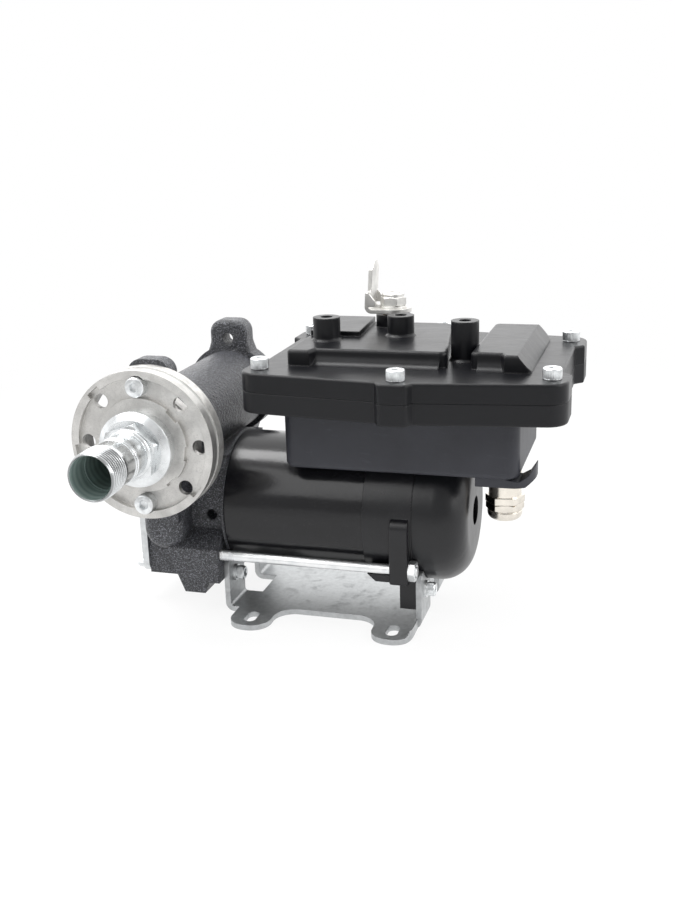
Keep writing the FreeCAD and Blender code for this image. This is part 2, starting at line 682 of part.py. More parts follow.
def round_rings(body, radius, rings):
    """Rounds the circular edges at the given places and radii of a turned piece."""
    spots = [(size(a).value, size(r).value) for a, r in rings]

    def rim(edge):
        curve = edge.Curve
        if not isinstance(curve, Part.Circle):
            return False
        return any(
            abs(curve.Center.x - a) < 1e-4 and abs(curve.Radius - r) < 1e-4 for a, r in spots
        )

    return round_edges(body, radius, rim)


def mirrored(points):
    """An outline from its half at negative second coordinate."""
    return points + [(a, -size(b)) for a, b in reversed(points)]


def node(label, item):
    item.Label = label
    NODES[label] = item
    return item


def cap_screw(axis, sign, seat, across, up, kind, grip):
    """A cap screw whose head stands on `seat` and points along sign; grip is its length below."""
    radius, head_r, head, socket = kind
    top = seat + sign * head
    tip = seat - sign * grip
    deep = top - sign * S.socket_depth
    spans = [(seat, top), (tip, seat), (deep, top + sign * 1)]
    if sign < 0:
        spans = [(high, low) for low, high in spans]
    body = fuse(
        rod(axis, head_r, spans[0][0], spans[0][1], across, up),
        rod(axis, radius, spans[1][0], spans[1][1], across, up),
    )
    return cut(body, hexagon(axis, socket, spans[2][0], spans[2][1], across, up))


SMALL = (S.small_screw_r, S.small_head_r, S.small_head, S.small_socket)
LARGE = (S.large_screw_r, S.large_head_r, S.large_head, S.large_socket)
LID = (S.small_screw_r, S.lid_head_r, S.lid_head, S.small_socket)
small_hole = S.small_screw_r + S.screw_gap
small_tapped = S.small_screw_r + S.fit_gap

# Places that several pieces share.
tube_right = S.tube_left + S.tube_length
tube_inner = S.tube_r - S.tube_wall
bell_right = tube_right + S.bell_length
bell_r = S.tube_r + S.bell_proud
bell_inner = bell_r - S.bell_wall
cap_r = bell_r - S.cap_shy
rod_circle = S.tube_r + S.rod_off
armature_r = tube_inner - S.fit_gap - S.magnet_thick - S.air_gap
web_right = bell_right - S.cap_spigot
web_left = web_right - S.bell_web
rear_bearing_right = web_right - 1
rear_bearing_left = rear_bearing_right - S.bearing_wide
front_bearing_left = S.tube_left - S.bearing_wide
body_right = S.tube_left - S.seat_thick
ear_right = bell_right - S.ear_set_back
ear_left = ear_right - S.ear_thick
lug_right = bell_right + S.lug_proud
rod_drop = rod_circle * sine(S.rod_tilt)
rod_out = rod_circle * cosine(S.rod_tilt)
RODS = [(-rod_out, S.motor_z - rod_drop, -1), (rod_out, S.motor_z + rod_drop, 1)]
cap_right = bell_right + S.cap_length
flange_back = S.neck_front - S.backing_thick - S.gasket_thick
web_front = flange_back - S.flange_web
rim_front = flange_back - S.flange_rim
hub_front = flange_back - S.flange_hub
hex_back = hub_front - S.collar_long
hex_front = hex_back - S.hex_long
thread_back = hex_front - S.nipple_neck_long
thread_front = thread_back - S.port_thread_long


# Motor tube and its two ends.
motor_tube = turned("x", [
    (S.tube_left, tube_inner),
    (tube_right, tube_inner),
    (tube_right, S.tube_r),
    (S.tube_left, S.tube_r),
], 0, S.motor_z)

node("motor_front_plate", turned("x", [
    (S.tube_left, S.plate_hole_r),
    (S.tube_left + S.plate_thick, S.plate_hole_r),
    (S.tube_left + S.plate_thick, tube_inner - S.fit_gap),
    (S.tube_left, tube_inner - S.fit_gap),
], 0, S.motor_z))

bell_shell = turned("x", [
    (tube_right - S.bell_spigot, tube_inner - S.fit_gap - S.bell_spigot_wall),
    (tube_right, tube_inner - S.fit_gap - S.bell_spigot_wall),
    (tube_right, bell_inner),
    (web_left, bell_inner),
    (web_left, S.bell_boss_r),
    (rear_bearing_left, S.bell_boss_r),
    (rear_bearing_left, S.bearing_r + S.run_gap),
    (rear_bearing_right, S.bearing_r + S.run_gap),
    (rear_bearing_right, S.shaft_r + S.bell_shaft_gap),
    (web_right, S.shaft_r + S.bell_shaft_gap),
    (web_right, bell_inner),
    (bell_right, bell_inner),
    (bell_right, bell_r),
    (tube_right, bell_r),
    (tube_right, tube_inner - S.fit_gap),
    (tube_right - S.bell_spigot, tube_inner - S.fit_gap),
], 0, S.motor_z)
bell_adds = []
bell_holes = [rod("x", bell_inner, tube_right, web_left, 0, S.motor_z)]
for rod_y, rod_z, side in RODS:
    outer = rod_y + side * S.ear_margin
    inner = rod_y - side * S.ear_inner
    far = rod_z + side * S.ear_below
    near = rod_z - side * S.ear_above
    ear_points = [(outer, far), (outer, near), (inner, near), (inner, far)]
    ear = slab("x", ear_points, ear_left, ear_right)
    round_corners(ear, S.ear_curl, ear_points[1:2])
    round_corners(ear, S.ear_curl / 4, ear_points[:1])
    bell_adds.append(round_end(ear, S.ear_edge_r, False))
    rib_far = far - side * S.rib_thick
    rib_out = rod_y + side * 1
    ys = (rib_out, inner) if side < 0 else (inner, rib_out)
    bell_adds.append(slab("y", [
        (ear_left - S.rib_long, rib_far),
        (ear_left - S.rib_long + S.rib_slope, far),
        (ear_left + 1, far),
        (ear_left + 1, rib_far),
    ], *ys))
    bell_holes.append(rod("x", S.rod_r + S.rod_gap, ear_left - 1, ear_right + 1, rod_y, rod_z))
    bell_holes.append(rod("x", S.rod_thread_r + S.rod_gap, ear_right - 5, ear_right + 1, rod_y, rod_z))
for side in (-1, 1):
    bell_adds.append(slab("x", [
        (side * S.lug_inner, S.lug_bottom),
        (side * S.lug_outer, S.lug_bottom),
        (side * S.lug_outer, S.lug_top - S.lug_slope),
        (side * (S.lug_outer - S.lug_slope / 2), S.lug_top),
        (side * S.lug_inner, S.lug_top),
    ], lug_right - S.lug_thick, lug_right))
    bell_holes.append(rod(
        "x", small_tapped, lug_right - S.bracket_screw_grip - 1.5, lug_right + 1,
        side * S.bracket_screw_y, S.bracket_screw_z,
    ))
bell_holes.append(rod("x", cap_r + S.clear_gap, bell_right, lug_right + 1, 0, S.motor_z))
bell_holes.append(rod("x", bell_inner, web_right, bell_right + 1, 0, S.motor_z))
node("end_bell", cut(fuse(bell_shell, *bell_adds), cut(
    bell_holes[0],
    rod("x", S.bell_boss_r, rear_bearing_left, web_left, 0, S.motor_z),
), *bell_holes[1:]))

cap_shell = turned("x", [
    (web_right, bell_inner - S.fit_gap - S.cap_wall),
    (cap_right - S.cap_wall, bell_inner - S.fit_gap - S.cap_wall),
    (cap_right - S.cap_wall, S.cap_hole_r),
    (cap_right, S.cap_hole_r),
    (cap_right, cap_r),
    (bell_right, cap_r),
    (bell_right, bell_inner - S.fit_gap),
    (web_right, bell_inner - S.fit_gap),
], 0, S.motor_z)
cap_inner = bell_inner - S.fit_gap - S.cap_wall
round_rings(cap_shell, S.cap_edge_r, [(cap_right, cap_r)])
round_rings(cap_shell, S.cap_edge_r - (cap_r - cap_inner) , [(cap_right - S.cap_wall, cap_inner)])
node("end_cap", cap_shell)

# Two tie rods clamp the bell to the pump body.
rods = []
nuts = []
for rod_y, rod_z, side in RODS:
    left = body_right - S.rod_grip
    right = ear_right + S.rod_end
    shank_left = left + S.rod_thread
    shank_right = right - S.rod_end_thread
    rods.append(turned("x", [
        (left, 0),
        (right, 0),
        (right, S.rod_thread_r),
        (shank_right, S.rod_thread_r),
        (shank_right, S.rod_r),
        (shank_left, S.rod_r),
        (shank_left, S.rod_thread_r),
        (left, S.rod_thread_r),
    ], rod_y, rod_z))
    nuts.append(cut(
        hexagon("x", S.nut_across, ear_right, ear_right + S.nut_height, rod_y, rod_z, S.rod_tilt.value),
        rod("x", S.rod_thread_r + S.fit_gap, ear_right - 1, ear_right + S.nut_height + 1, rod_y, rod_z),
    ))
node("tie_rods", group(*rods))
node("tie_rod_nuts", group(*nuts))

# Field magnets: two arcs inside the tube.
magnet_right = S.magnet_left + S.magnet_length
node("field_magnets", cut(
    ring("x", tube_inner - S.fit_gap, armature_r + S.air_gap, S.magnet_left, magnet_right, 0, S.motor_z),
    box(
        (S.magnet_left - 1, magnet_right + 1),
        (-S.tube_r, S.tube_r),
        (S.motor_z - S.magnet_split / 2, S.motor_z + S.magnet_split / 2),
    ),
))

# Armature and commutator on the drive shaft.
shaft_right = web_right
node("drive_shaft", rod("x", S.shaft_r, S.shaft_left, shaft_right, 0, S.motor_z))
core_right = S.core_left + S.core_length
on_shaft = S.shaft_r + S.run_gap
node("armature_core", turned("x", [
    (S.core_left, on_shaft),
    (core_right, on_shaft),
    (core_right, armature_r),
    (S.core_left, armature_r),
], 0, S.motor_z))
node("armature_windings", group(*[
    ring("x", armature_r - S.winding_shy, S.winding_bore, low, high, 0, S.motor_z)
    for low, high in (
        (S.core_left - S.winding_length, S.core_left),
        (core_right, core_right + S.winding_length),
    )
]))
commutator_right = S.commutator_left + S.commutator_length
node("commutator", turned("x", [
    (S.commutator_left, on_shaft),
    (commutator_right, on_shaft),
    (commutator_right, S.commutator_r),
    (S.commutator_left, S.commutator_r),
], 0, S.motor_z))

# Brush plate, holders, brushes and springs.
brush_plate_right = S.brush_plate_left + S.brush_plate_thick
node("brush_plate", ring(
    "x", bell_inner - S.brush_gap, S.plate_hole_r, S.brush_plate_left, brush_plate_right, 0, S.motor_z,
))
holders = []
pocket_half = S.brush_wide / 2 + S.brush_gap
brush_right = S.brush_left + S.brush_long
brush_inner = S.commutator_r + S.clear_gap
brush_outer = brush_inner + S.brush_tall
holder_outer = bell_inner - S.holder_shy
pocket_end = holder_outer - S.holder_cap
brush_middle = S.brush_left + S.brush_long / 2
for side, name in ((1, "upper"), (-1, "lower")):
    def span(low, high, side=side):
        """Heights at two distances from the motor axis, the lower one first."""
        if side > 0:
            return S.motor_z + low, S.motor_z + high
        return S.motor_z - high, S.motor_z - low

    holders.append(cut(
        box(
            (S.brush_left - S.brush_gap - S.holder_end_wall, S.brush_plate_left),
            (-pocket_half - S.holder_wall, pocket_half + S.holder_wall),
            span(S.holder_inner, holder_outer),
        ),
        box(
            (S.brush_left - S.brush_gap, brush_right + S.brush_gap),
            (-pocket_half, pocket_half),
            span(S.holder_inner - 1, pocket_end),
        ),
    ))
    node(name + "_brush", box(
        (S.brush_left, brush_right),
        (-S.brush_wide / 2, S.brush_wide / 2),
        span(brush_inner, brush_outer),
    ))
    low, high = span(brush_outer, pocket_end)
    node(name + "_brush_spring", ring(
        "z", S.brush_spring_r, S.brush_spring_bore, low, high, brush_middle, 0,
    ))
node("brush_holders", group(*holders))

# Two ball bearings.
pitch_r = (S.bearing_r + S.shaft_r) / 2
outer_rings = []
inner_rings = []
balls = []
for left in (front_bearing_left, rear_bearing_left):
    right = left + S.bearing_wide
    middle = left + S.bearing_wide / 2

    def groove():
        item = doc.addObject("Part::Torus", "Groove")
        bind(item, "Radius1", pitch_r)
        bind(item, "Radius2", S.ball_r + S.ball_gap)
        place(item, (middle, 0, S.motor_z), LIE_TURNS["x"])
        return item

    outer_rings.append(cut(
        ring("x", S.bearing_r, S.bearing_r - S.bearing_ring, left, right, 0, S.motor_z), groove(),
    ))
    inner_rings.append(cut(
        ring("x", S.shaft_r + S.bearing_ring, on_shaft, left, right, 0, S.motor_z), groove(),
    ))
    for i in range(int(S.ball_count.value)):
        angle = 360 * i / S.ball_count
        ball = doc.addObject("Part::Sphere", "Ball")
        bind(ball, "Radius", S.ball_r)
        place(ball, (middle, pitch_r * cosine(angle), S.motor_z + pitch_r * sine(angle)))
        balls.append(ball)
node("bearing_outer_rings", group(*outer_rings))
node("bearing_inner_rings", group(*inner_rings))
node("bearing_balls", group(*balls))

# Pump body: block, port neck, port ears, lower lugs and bosses.
ear_outline = [
    (S.port_x + across * S.port_ear_half + flare * S.port_ear_flare, S.port_z + up)
    for across, flare, up in (
        (-1, 0, -S.port_ear_reach), (1, 0, -S.port_ear_reach),
        (1, 0, -S.ear_flare_top), (1, 1, -S.ear_flare_low),
        (1, 1, S.ear_flare_low), (1, 0, S.ear_flare_top),
        (1, 0, S.port_ear_reach), (-1, 0, S.port_ear_reach),
        (-1, 0, S.ear_flare_top), (-1, -1, S.ear_flare_low),
        (-1, -1, -S.ear_flare_low), (-1, 0, -S.ear_flare_top),
    )
]
front_ear_back = S.neck_front + S.port_ear_thick
back_ear_front = S.neck_back - S.port_ear_thick
front_bore_end = -S.bypass_wall / 2
barrel_outline = [
    (S.low_boss_x - S.low_boss_r, S.low_boss_bottom),
    (S.low_boss_x + S.low_boss_r, S.low_boss_bottom),
    (S.low_boss_x + S.low_boss_r, S.low_boss_top),
    (S.low_boss_x - S.low_boss_r, S.low_boss_top),
]
casting = [
    box((S.body_left, body_right), (-S.body_half, S.body_half), (S.body_bottom, S.body_top)),
    box((body_right - 1, S.tube_left), (-S.body_half, S.body_half), (S.seat_bottom, S.body_top)),
    common(
        rod("x", S.tube_r + S.seat_proud, S.tube_left - S.seat_rim, S.tube_left, 0, S.motor_z),
        box(
            (body_right - 1, S.tube_left), (-S.tube_r * 2, S.tube_r * 2),
            (S.seat_bottom, S.motor_z + S.tube_r * 2),
        ),
    ),
    rod("y", S.neck_r, S.neck_front, S.neck_back, S.port_x, S.port_z),
    rod("y", S.port_disc_r, S.neck_front, front_ear_back, S.port_x, S.port_z),
    rod("y", S.port_disc_r, back_ear_front, S.neck_back, S.port_x, S.port_z),
    round_end(
        round_corners(slab("y", barrel_outline, S.low_boss_front, 0), S.low_boss_r - 0.5, barrel_outline[:2]),
        S.low_boss_round,
    ),
]
for low, high, front in ((S.neck_front, front_ear_back, False), (back_ear_front, S.neck_back, True)):
    ear = slab("y", ear_outline, low, high)
    round_corners(ear, S.port_ear_round, [ear_outline[i] for i in (0, 1, 2, 5, 6, 7, 8, 11)])
    casting.append(round_end(ear, S.port_ear_edge_r, front))
for low, high in ((S.web_front, 0), (0, back_ear_front + 1)):
    casting.append(box(
        (S.port_x - S.web_half, S.port_x + S.web_half), (low, high), (S.chamber_z, S.port_z),
    ))
lug_outline = [
    (S.foot_left, S.foot_left_z),
    (S.foot_toe_left, S.foot_toe_z),
    (S.foot_toe_right, S.foot_toe_z),
    (S.foot_step_x, S.foot_step_z),
    (body_right, S.foot_step_z),
    (body_right, S.foot_top),
    (S.foot_left, S.foot_top),
]
casting.append(slab("y", lug_outline, -S.foot_outer, S.foot_outer))
for side in (-1, 1):
    casting.append(slab("x", [
        (side * (S.body_half - 1), S.foot_top - 1),
        (side * S.foot_outer, S.foot_top - 1),
        (side * S.foot_outer, S.foot_top),
        (side * S.body_half, S.shelf_top),
        (side * (S.body_half - 1), S.shelf_top),
    ], S.foot_left, body_right))
for rod_y, rod_z, side in RODS[1:]:
    casting.append(rod("x", S.rod_boss_r, body_right - S.rod_boss_long, body_right, rod_y, rod_z))
    reach = S.body_half - 2
    ys = (rod_y, -reach) if side < 0 else (reach, rod_y)
    zs = (rod_z - S.rod_boss_r, rod_z + S.rod_boss_r)
    casting.append(box((body_right - S.rod_boss_long, body_right), ys, zs))
seal_left = front_bearing_left - S.seal_pocket
cavities = [
    rod("x", S.chamber_r, S.body_left - 1, S.body_left + S.chamber_deep, 0, S.chamber_z),
    rod("x", S.shaft_r + S.land_gap, S.body_left, S.tube_left, 0, S.motor_z),
    rod("x", S.seal_r + S.run_gap, seal_left, S.tube_left, 0, S.motor_z),
    rod("x", S.bearing_r + S.run_gap, front_bearing_left, S.tube_left + 1, 0, S.motor_z),
    ring(
        "x", S.cover_seal_r, S.cover_seal_r - S.cover_seal_wide,
        S.body_left - 1, S.body_left + S.cover_seal_deep, 0, S.chamber_z,
    ),
    rod("y", S.port_bore_r, S.neck_front - 1, front_bore_end, S.port_x, S.port_z),
    rod("y", S.port_bore_r, -front_bore_end, S.neck_back + 1, S.port_x, S.port_z),
    rod("y", S.bypass_hole_r, front_bore_end - 1, 1 - front_bore_end, S.port_x, S.port_z),
    rod("y", S.tap_r, -S.body_half - 1, S.tap_deep - S.body_half, S.tap_x, S.tap_z),
]
for side in (-1, 1):
    cavities.append(rod("z", S.passage_r, S.chamber_z, S.port_z, S.passage_x, side * S.passage_y))
    cavities.append(rod(
        "y", S.large_screw_r + S.fit_gap, S.neck_front - 1, front_ear_back + 1,
        S.port_x, S.port_z + side * S.port_bolt_r,
    ))
    cavities.append(rod(
        "y", S.outlet_hole_r, S.neck_back - S.outlet_hole_deep, S.neck_back + 1,
        S.port_x, S.port_z + side * S.port_bolt_r,
    ))
    cavities.append(rod(
        "x", small_tapped, body_right - S.bracket_screw_grip - 1.5, body_right + 1,
        side * S.bracket_screw_y, S.bracket_screw_z,
    ))
    for height in (S.cover_screw_low, S.cover_screw_high):
        cavities.append(rod(
            "x", small_tapped, S.body_left - 1, S.body_left + S.cover_screw_grip + 2,
            side * S.cover_screw_y, height,
        ))
for rod_y, rod_z, side in RODS:
    cavities.append(rod(
        "x", S.rod_thread_r + S.fit_gap, body_right - S.rod_boss_long - 1, body_right + 1, rod_y, rod_z,
    ))
pump_casting = cut(fuse(*casting), *cavities)
across_x = (S.body_left - S.tube_r, S.tube_left + 1)
over_z = (0, S.port_z + S.port_ear_reach + 1)
# The two eared ends are solids of their own, which meet the middle face to face.
node("pump_body", group(*[
    common(pump_casting, box(across_x, span, over_z))
    for span in (
        (S.neck_front - 1, front_ear_back), (front_ear_back, back_ear_front),
        (back_ear_front, S.neck_back + 1),
    )
]))

# Pump cover, seals and screws.
cover_left = S.body_left - S.cover_thick
cover_outline = [
    (-S.cover_half, S.cover_bottom),
    (S.cover_half, S.cover_bottom),
    (S.cover_half, S.cover_top),
    (-S.cover_half, S.cover_top),
]
cover = slab("x", cover_outline, cover_left, S.body_left)
round_corners(cover, S.cover_round, cover_outline)
cover_spots = [
    (side * S.cover_screw_y, height)
    for side in (-1, 1)
    for height in (S.cover_screw_low, S.cover_screw_high)
]
node("pump_cover", cut(cover, *[
    rod("x", small_hole, cover_left - 1, S.body_left + 1, y, z) for y, z in cover_spots
]))
node("cover_screws", group(*[
    cap_screw("x", -1, cover_left, y, z, SMALL, S.cover_thick + S.cover_screw_grip)
    for y, z in cover_spots
]))
node("pump_seals", group(
    ring(
        "x", S.cover_seal_r - S.fit_gap, S.cover_seal_r - S.cover_seal_wide + S.fit_gap,
        S.body_left, S.body_left + S.cover_seal_deep, 0, S.chamber_z,
    ),
    ring(
        "x", S.seal_r, S.shaft_r + S.fit_gap, seal_left, seal_left + S.seal_wide, 0, S.motor_z,
    ),
))

# Rotor with its slots, and the vanes pushed fully in.
rotor_left = S.body_left + S.rotor_gap
rotor_right = S.body_left + S.chamber_deep - S.rotor_gap
slots = []
vanes = []
for i in range(int(S.vane_count.value)):
    angle = 360 * i / S.vane_count.value + 90
    for items, half, inner, outer, gap in (
        (slots, S.vane_thick / 2 + S.vane_gap, S.vane_inner, S.vane_tip + 2, 1),
        (vanes, S.vane_thick / 2, S.vane_inner + S.vane_gap, S.vane_tip, 0),
    ):
        blade = slab("x", [(inner, -half), (outer, -half), (outer, half), (inner, half)],
                     rotor_left - gap, rotor_right + gap)
        place(blade, (rotor_left - gap, 0, S.motor_z), Rotation(AXES["x"], angle) * PAD_TURNS["x"])
        items.append(blade)
node("pump_rotor", cut(
    ring("x", S.rotor_r, on_shaft, rotor_left, rotor_right, 0, S.motor_z), *slots,
))
node("vanes", group(*vanes))

# Bypass valve in the front bore.
poppet_back = front_bore_end - S.clear_gap
poppet_front = poppet_back - S.poppet_thick
stem_front = poppet_front - S.poppet_stem
node("bypass_poppet", turned("y", [
    (stem_front, 0),
    (poppet_back, 0),
    (poppet_back, S.poppet_r),
    (poppet_front, S.poppet_r),
    (poppet_front, S.poppet_stem_r),
    (stem_front, S.poppet_stem_r),
], S.port_x, S.port_z))
retainer_back = poppet_front - S.retainer_gap
retainer_front = retainer_back - S.retainer_thick
flow_r = (S.port_bore_r + S.bypass_spring_r) / 2
node("bypass_spring", ring(
    "y", S.bypass_spring_r, S.bypass_spring_bore, retainer_back, poppet_front, S.port_x, S.port_z,
))
node("spring_retainer", cut(
    ring(
        "y", S.port_bore_r - S.fit_gap, S.poppet_stem_r + S.fit_gap,
        retainer_front, retainer_back, S.port_x, S.port_z,
    ),
    *[
        rod(
            "y", S.retainer_hole_r, retainer_front - 1, retainer_back + 1,
            S.port_x + flow_r * cosine(60 * i), S.port_z + flow_r * sine(60 * i),
        )
        for i in range(6)
    ],
))
strainer_front = S.neck_front + S.strainer_set_back
strainer_back = strainer_front + S.strainer_long
node("inlet_strainer", turned("y", [
    (strainer_front, S.strainer_r - S.strainer_wall),
    (strainer_front, S.strainer_r),
    (strainer_back, S.strainer_r),
    (strainer_back, 0),
    (strainer_back - S.strainer_wall, 0),
    (strainer_back - S.strainer_wall, S.strainer_r - S.strainer_wall),
], S.port_x, S.port_z))

# Inlet flange, gasket and backing ring, with a ring of holes through all three.
def bolt_holes(low, high):
    return [
        rod(
            "y", S.port_hole_r, low - 1, high + 1,
            S.port_x + S.port_bolt_r * sine(360 * i / S.flange_holes),
            S.port_z + S.port_bolt_r * cosine(360 * i / S.flange_holes),
        )
        for i in range(int(S.flange_holes.value))
    ]


def windows(low, high):
    """The two free spaces beside the port ears, out to the rim."""
    return cut(
        ring("y", S.flange_rim_inner, S.window_inner, low - 1, high + 1, S.port_x, S.port_z),
        box(
            (S.port_x - S.window_half, S.port_x + S.window_half), (low - 2, high + 2),
            (S.port_z - S.flange_r, S.port_z + S.flange_r),
        ),
    )


gasket_back = flange_back + S.gasket_thick
spigot_hole = S.nipple_spigot_r + S.fit_gap
seal_seat = hub_front + S.nipple_seal_thick
node("inlet_backing_ring", cut(
    ring("y", S.flange_r, S.backing_bore, gasket_back, S.neck_front, S.port_x, S.port_z),
    windows(gasket_back, S.neck_front),
    *bolt_holes(gasket_back, S.neck_front),
))
node("inlet_gasket", cut(
    ring(
        "y", S.flange_r - S.gasket_shy, S.nipple_spigot_r, flange_back, gasket_back, S.port_x, S.port_z,
    ),
    windows(flange_back, gasket_back),
    *bolt_holes(flange_back, gasket_back),
))
flange_blank = turned("y", [
    (flange_back, spigot_hole),
    (flange_back, S.flange_r),
    (rim_front, S.flange_r),
    (rim_front, S.flange_rim_inner),
    (web_front, S.flange_rim_inner),
    (web_front, S.hub_r),
    (hub_front, S.hub_r),
    (hub_front, S.nipple_seal_r + S.fit_gap),
    (seal_seat, S.nipple_seal_r + S.fit_gap),
    (seal_seat, spigot_hole),
], S.port_x, S.port_z)
notches = [
    rod("y", S.large_head_r + S.head_gap, hub_front - 2, web_front, S.port_x, S.port_z + side * S.port_bolt_r)
    for side in (-1, 1)
]
for degrees, radius, deep in (
    (48, S.hub_r, S.hub_notch_deep),
    (98, S.hub_r, S.hub_notch_deep * 0.7),
    (140, S.hub_r, S.hub_notch_deep * 0.8),
    (228, S.hub_r, S.hub_notch_deep),
    (285, S.hub_r, S.hub_notch_deep * 0.7),
    (128, S.flange_rim_inner + S.hub_notch_deep, S.hub_notch_deep * 2),
    (262, S.flange_rim_inner + S.hub_notch_deep, S.hub_notch_deep * 2),
    (318, S.flange_rim_inner + S.hub_notch_deep, S.hub_notch_deep * 2),
):
    notch = doc.addObject("Part::Box", "Notch")
    bind(notch, "Length", S.hub_notch)
    bind(notch, "Width", web_front - rim_front + 1)
    bind(notch, "Height", deep + 1)
    inner = radius - deep
    place(
        notch,
        (
            S.port_x + inner * sine(degrees) - S.hub_notch / 2 * cosine(degrees),
            rim_front - 1,
            S.port_z + inner * cosine(degrees) + S.hub_notch / 2 * sine(degrees),
        ),
        Rotation(AXES["y"], degrees),
    )
    notches.append(notch)
node("inlet_flange", cut(flange_blank, *bolt_holes(web_front, flange_back), *notches))
node("inlet_screws", group(*[
    cap_screw(
        "y", -1, web_front, S.port_x, S.port_z + side * S.port_bolt_r, LARGE,
        S.neck_front - web_front + S.inlet_screw_grip,
    )
    for side in (-1, 1)
]))
node("nipple_seal", ring(
    "y", S.nipple_seal_r, spigot_hole, hub_front, seal_seat, S.port_x, S.port_z,
))
collar_rim_back = hub_front - S.collar_base
node("nipple_collar", turned("y", [
    (hex_back, spigot_hole),
    (hub_front, spigot_hole),
    (hub_front, S.collar_base_r),
    (collar_rim_back, S.collar_base_r),
    (collar_rim_back, S.collar_r),
    (collar_rim_back - S.collar_lip, S.collar_r),
    (hex_back, S.collar_top_r),
], S.port_x, S.port_z))
chamfered = S.port_thread_r - S.port_chamfer
nipple_tube = turned("y", [
    (thread_front, S.nipple_bore_r),
    (flange_back, S.nipple_bore_r),
    (flange_back, S.nipple_spigot_r),
    (hex_front + 1, S.nipple_spigot_r),
    (hex_front + 1, S.nipple_neck_r),
    (thread_back, S.nipple_neck_r),
    (thread_back, S.port_thread_r),
    (thread_front + S.port_chamfer, S.port_thread_r),
    (thread_front, chamfered),
], S.port_x, S.port_z)
node("threaded_nipple", fuse(nipple_tube, cut(
    hexagon("y", S.hex_across, hex_front, hex_back, S.port_x, S.port_z, 12),
    rod("y", S.nipple_bore_r, hex_front - 1, hex_back + 1, S.port_x, S.port_z),
)))

# Bracket: one folded sheet, found where its three outlines overlap.
sheet_right = lug_right + S.sheet_thick
sheet_left = body_right
inner_left = sheet_left + S.sheet_thick
channel_points = [
    (sheet_left, 0),
    (sheet_right, 0),
    (sheet_right, S.upright_top),
    (lug_right, S.upright_top),
    (lug_right, S.sheet_thick),
    (inner_left, S.sheet_thick),
    (inner_left, S.upright_top),
    (sheet_left, S.upright_top),
]
channel = slab("y", channel_points, -S.pad_reach, S.pad_reach)
round_corners(channel, S.bend_r + S.sheet_thick, channel_points[:2])
round_corners(channel, S.bend_r, channel_points[4:6])
pad_left = S.pad_x - S.pad_wide / 2
pad_right = S.pad_x + S.pad_wide / 2
half_plan = [
    (sheet_left + S.window_deep, -S.upright_inner),
    (sheet_left, -S.upright_inner),
    (sheet_left, -S.upright_outer),
    (-pad_right, -S.upright_outer),
    (-pad_right, -S.pad_reach),
    (-pad_left, -S.pad_reach),
    (-pad_left, -S.arch_y),
    (pad_left, -S.arch_y),
    (pad_left, -S.pad_reach),
    (pad_right, -S.pad_reach),
    (pad_right, -S.upright_outer),
    (sheet_right, -S.upright_outer),
    (sheet_right, -S.upright_inner),
    (sheet_right - S.window_deep, -S.upright_inner),
]
plan_points = mirrored(half_plan)
plan = slab("z", plan_points, 0, S.upright_top)
toes = [point for i in (4, 5, 8, 9) for point in (half_plan[i], plan_points[-1 - i])]
roots = [point for i in (6, 7) for point in (half_plan[i], plan_points[-1 - i])]
round_corners(plan, S.pad_round, toes)
round_corners(plan, S.root_round, roots)
half_front = [
    (0, -S.pad_reach),
    (S.sheet_thick * 2, -S.pad_reach),
    (S.sheet_thick * 2, -S.upright_outer),
    (S.upright_top, -S.upright_outer),
    (S.upright_top, -S.upright_inner),
    (S.sheet_thick, -S.upright_inner),
]
front_points = [(b, a) for a, b in mirrored(half_front)]
front = slab("x", front_points, sheet_left, sheet_right)
tops = [(-S.upright_outer, S.upright_top), (-S.upright_inner, S.upright_top)]
tops += [(-a, b) for a, b in tops]
round_corners(front, S.upright_round, tops)
bracket_holes = []
for side in (-1, 1):
    for low in (sheet_left, lug_right):
        bracket_holes.append(rod(
            "x", small_hole, low - 1, low + S.sheet_thick + 1,
            side * S.bracket_screw_y, S.bracket_screw_z,
        ))
    for end in (-1, 1):
        straight = (S.slot_long - S.slot_wide) / 2
        middle_x, middle_y = end * S.pad_x, side * S.slot_y
        bracket_holes.append(box(
            (middle_x - S.slot_wide / 2, middle_x + S.slot_wide / 2),
            (middle_y - straight, middle_y + straight),
            (-1, S.sheet_thick + 1),
        ))
        for tip in (-1, 1):
            bracket_holes.append(rod(
                "z", S.slot_wide / 2, -1, S.sheet_thick + 1, middle_x, middle_y + tip * straight,
            ))
bracket_holes.append(rod("x", cap_r + S.clear_gap * 2, bell_right, sheet_right + 1, 0, S.motor_z))
node("base_bracket", cut(common(channel, plan, front), *bracket_holes))
bracket_screws = []
bracket_washers = []
for side in (-1, 1):
    for face in (inner_left, sheet_right):
        seat = face + S.washer_thick
        bracket_screws.append(cap_screw(
            "x", 1, seat, side * S.bracket_screw_y, S.bracket_screw_z, SMALL,
            S.washer_thick + S.sheet_thick + S.bracket_screw_grip,
        ))
        bracket_washers.append(ring(
            "x", S.washer_r, S.small_screw_r + S.screw_gap, face, seat,
            side * S.bracket_screw_y, S.bracket_screw_z,
        ))
node("bracket_screws", group(*bracket_screws))
node("bracket_washers", group(*bracket_washers))

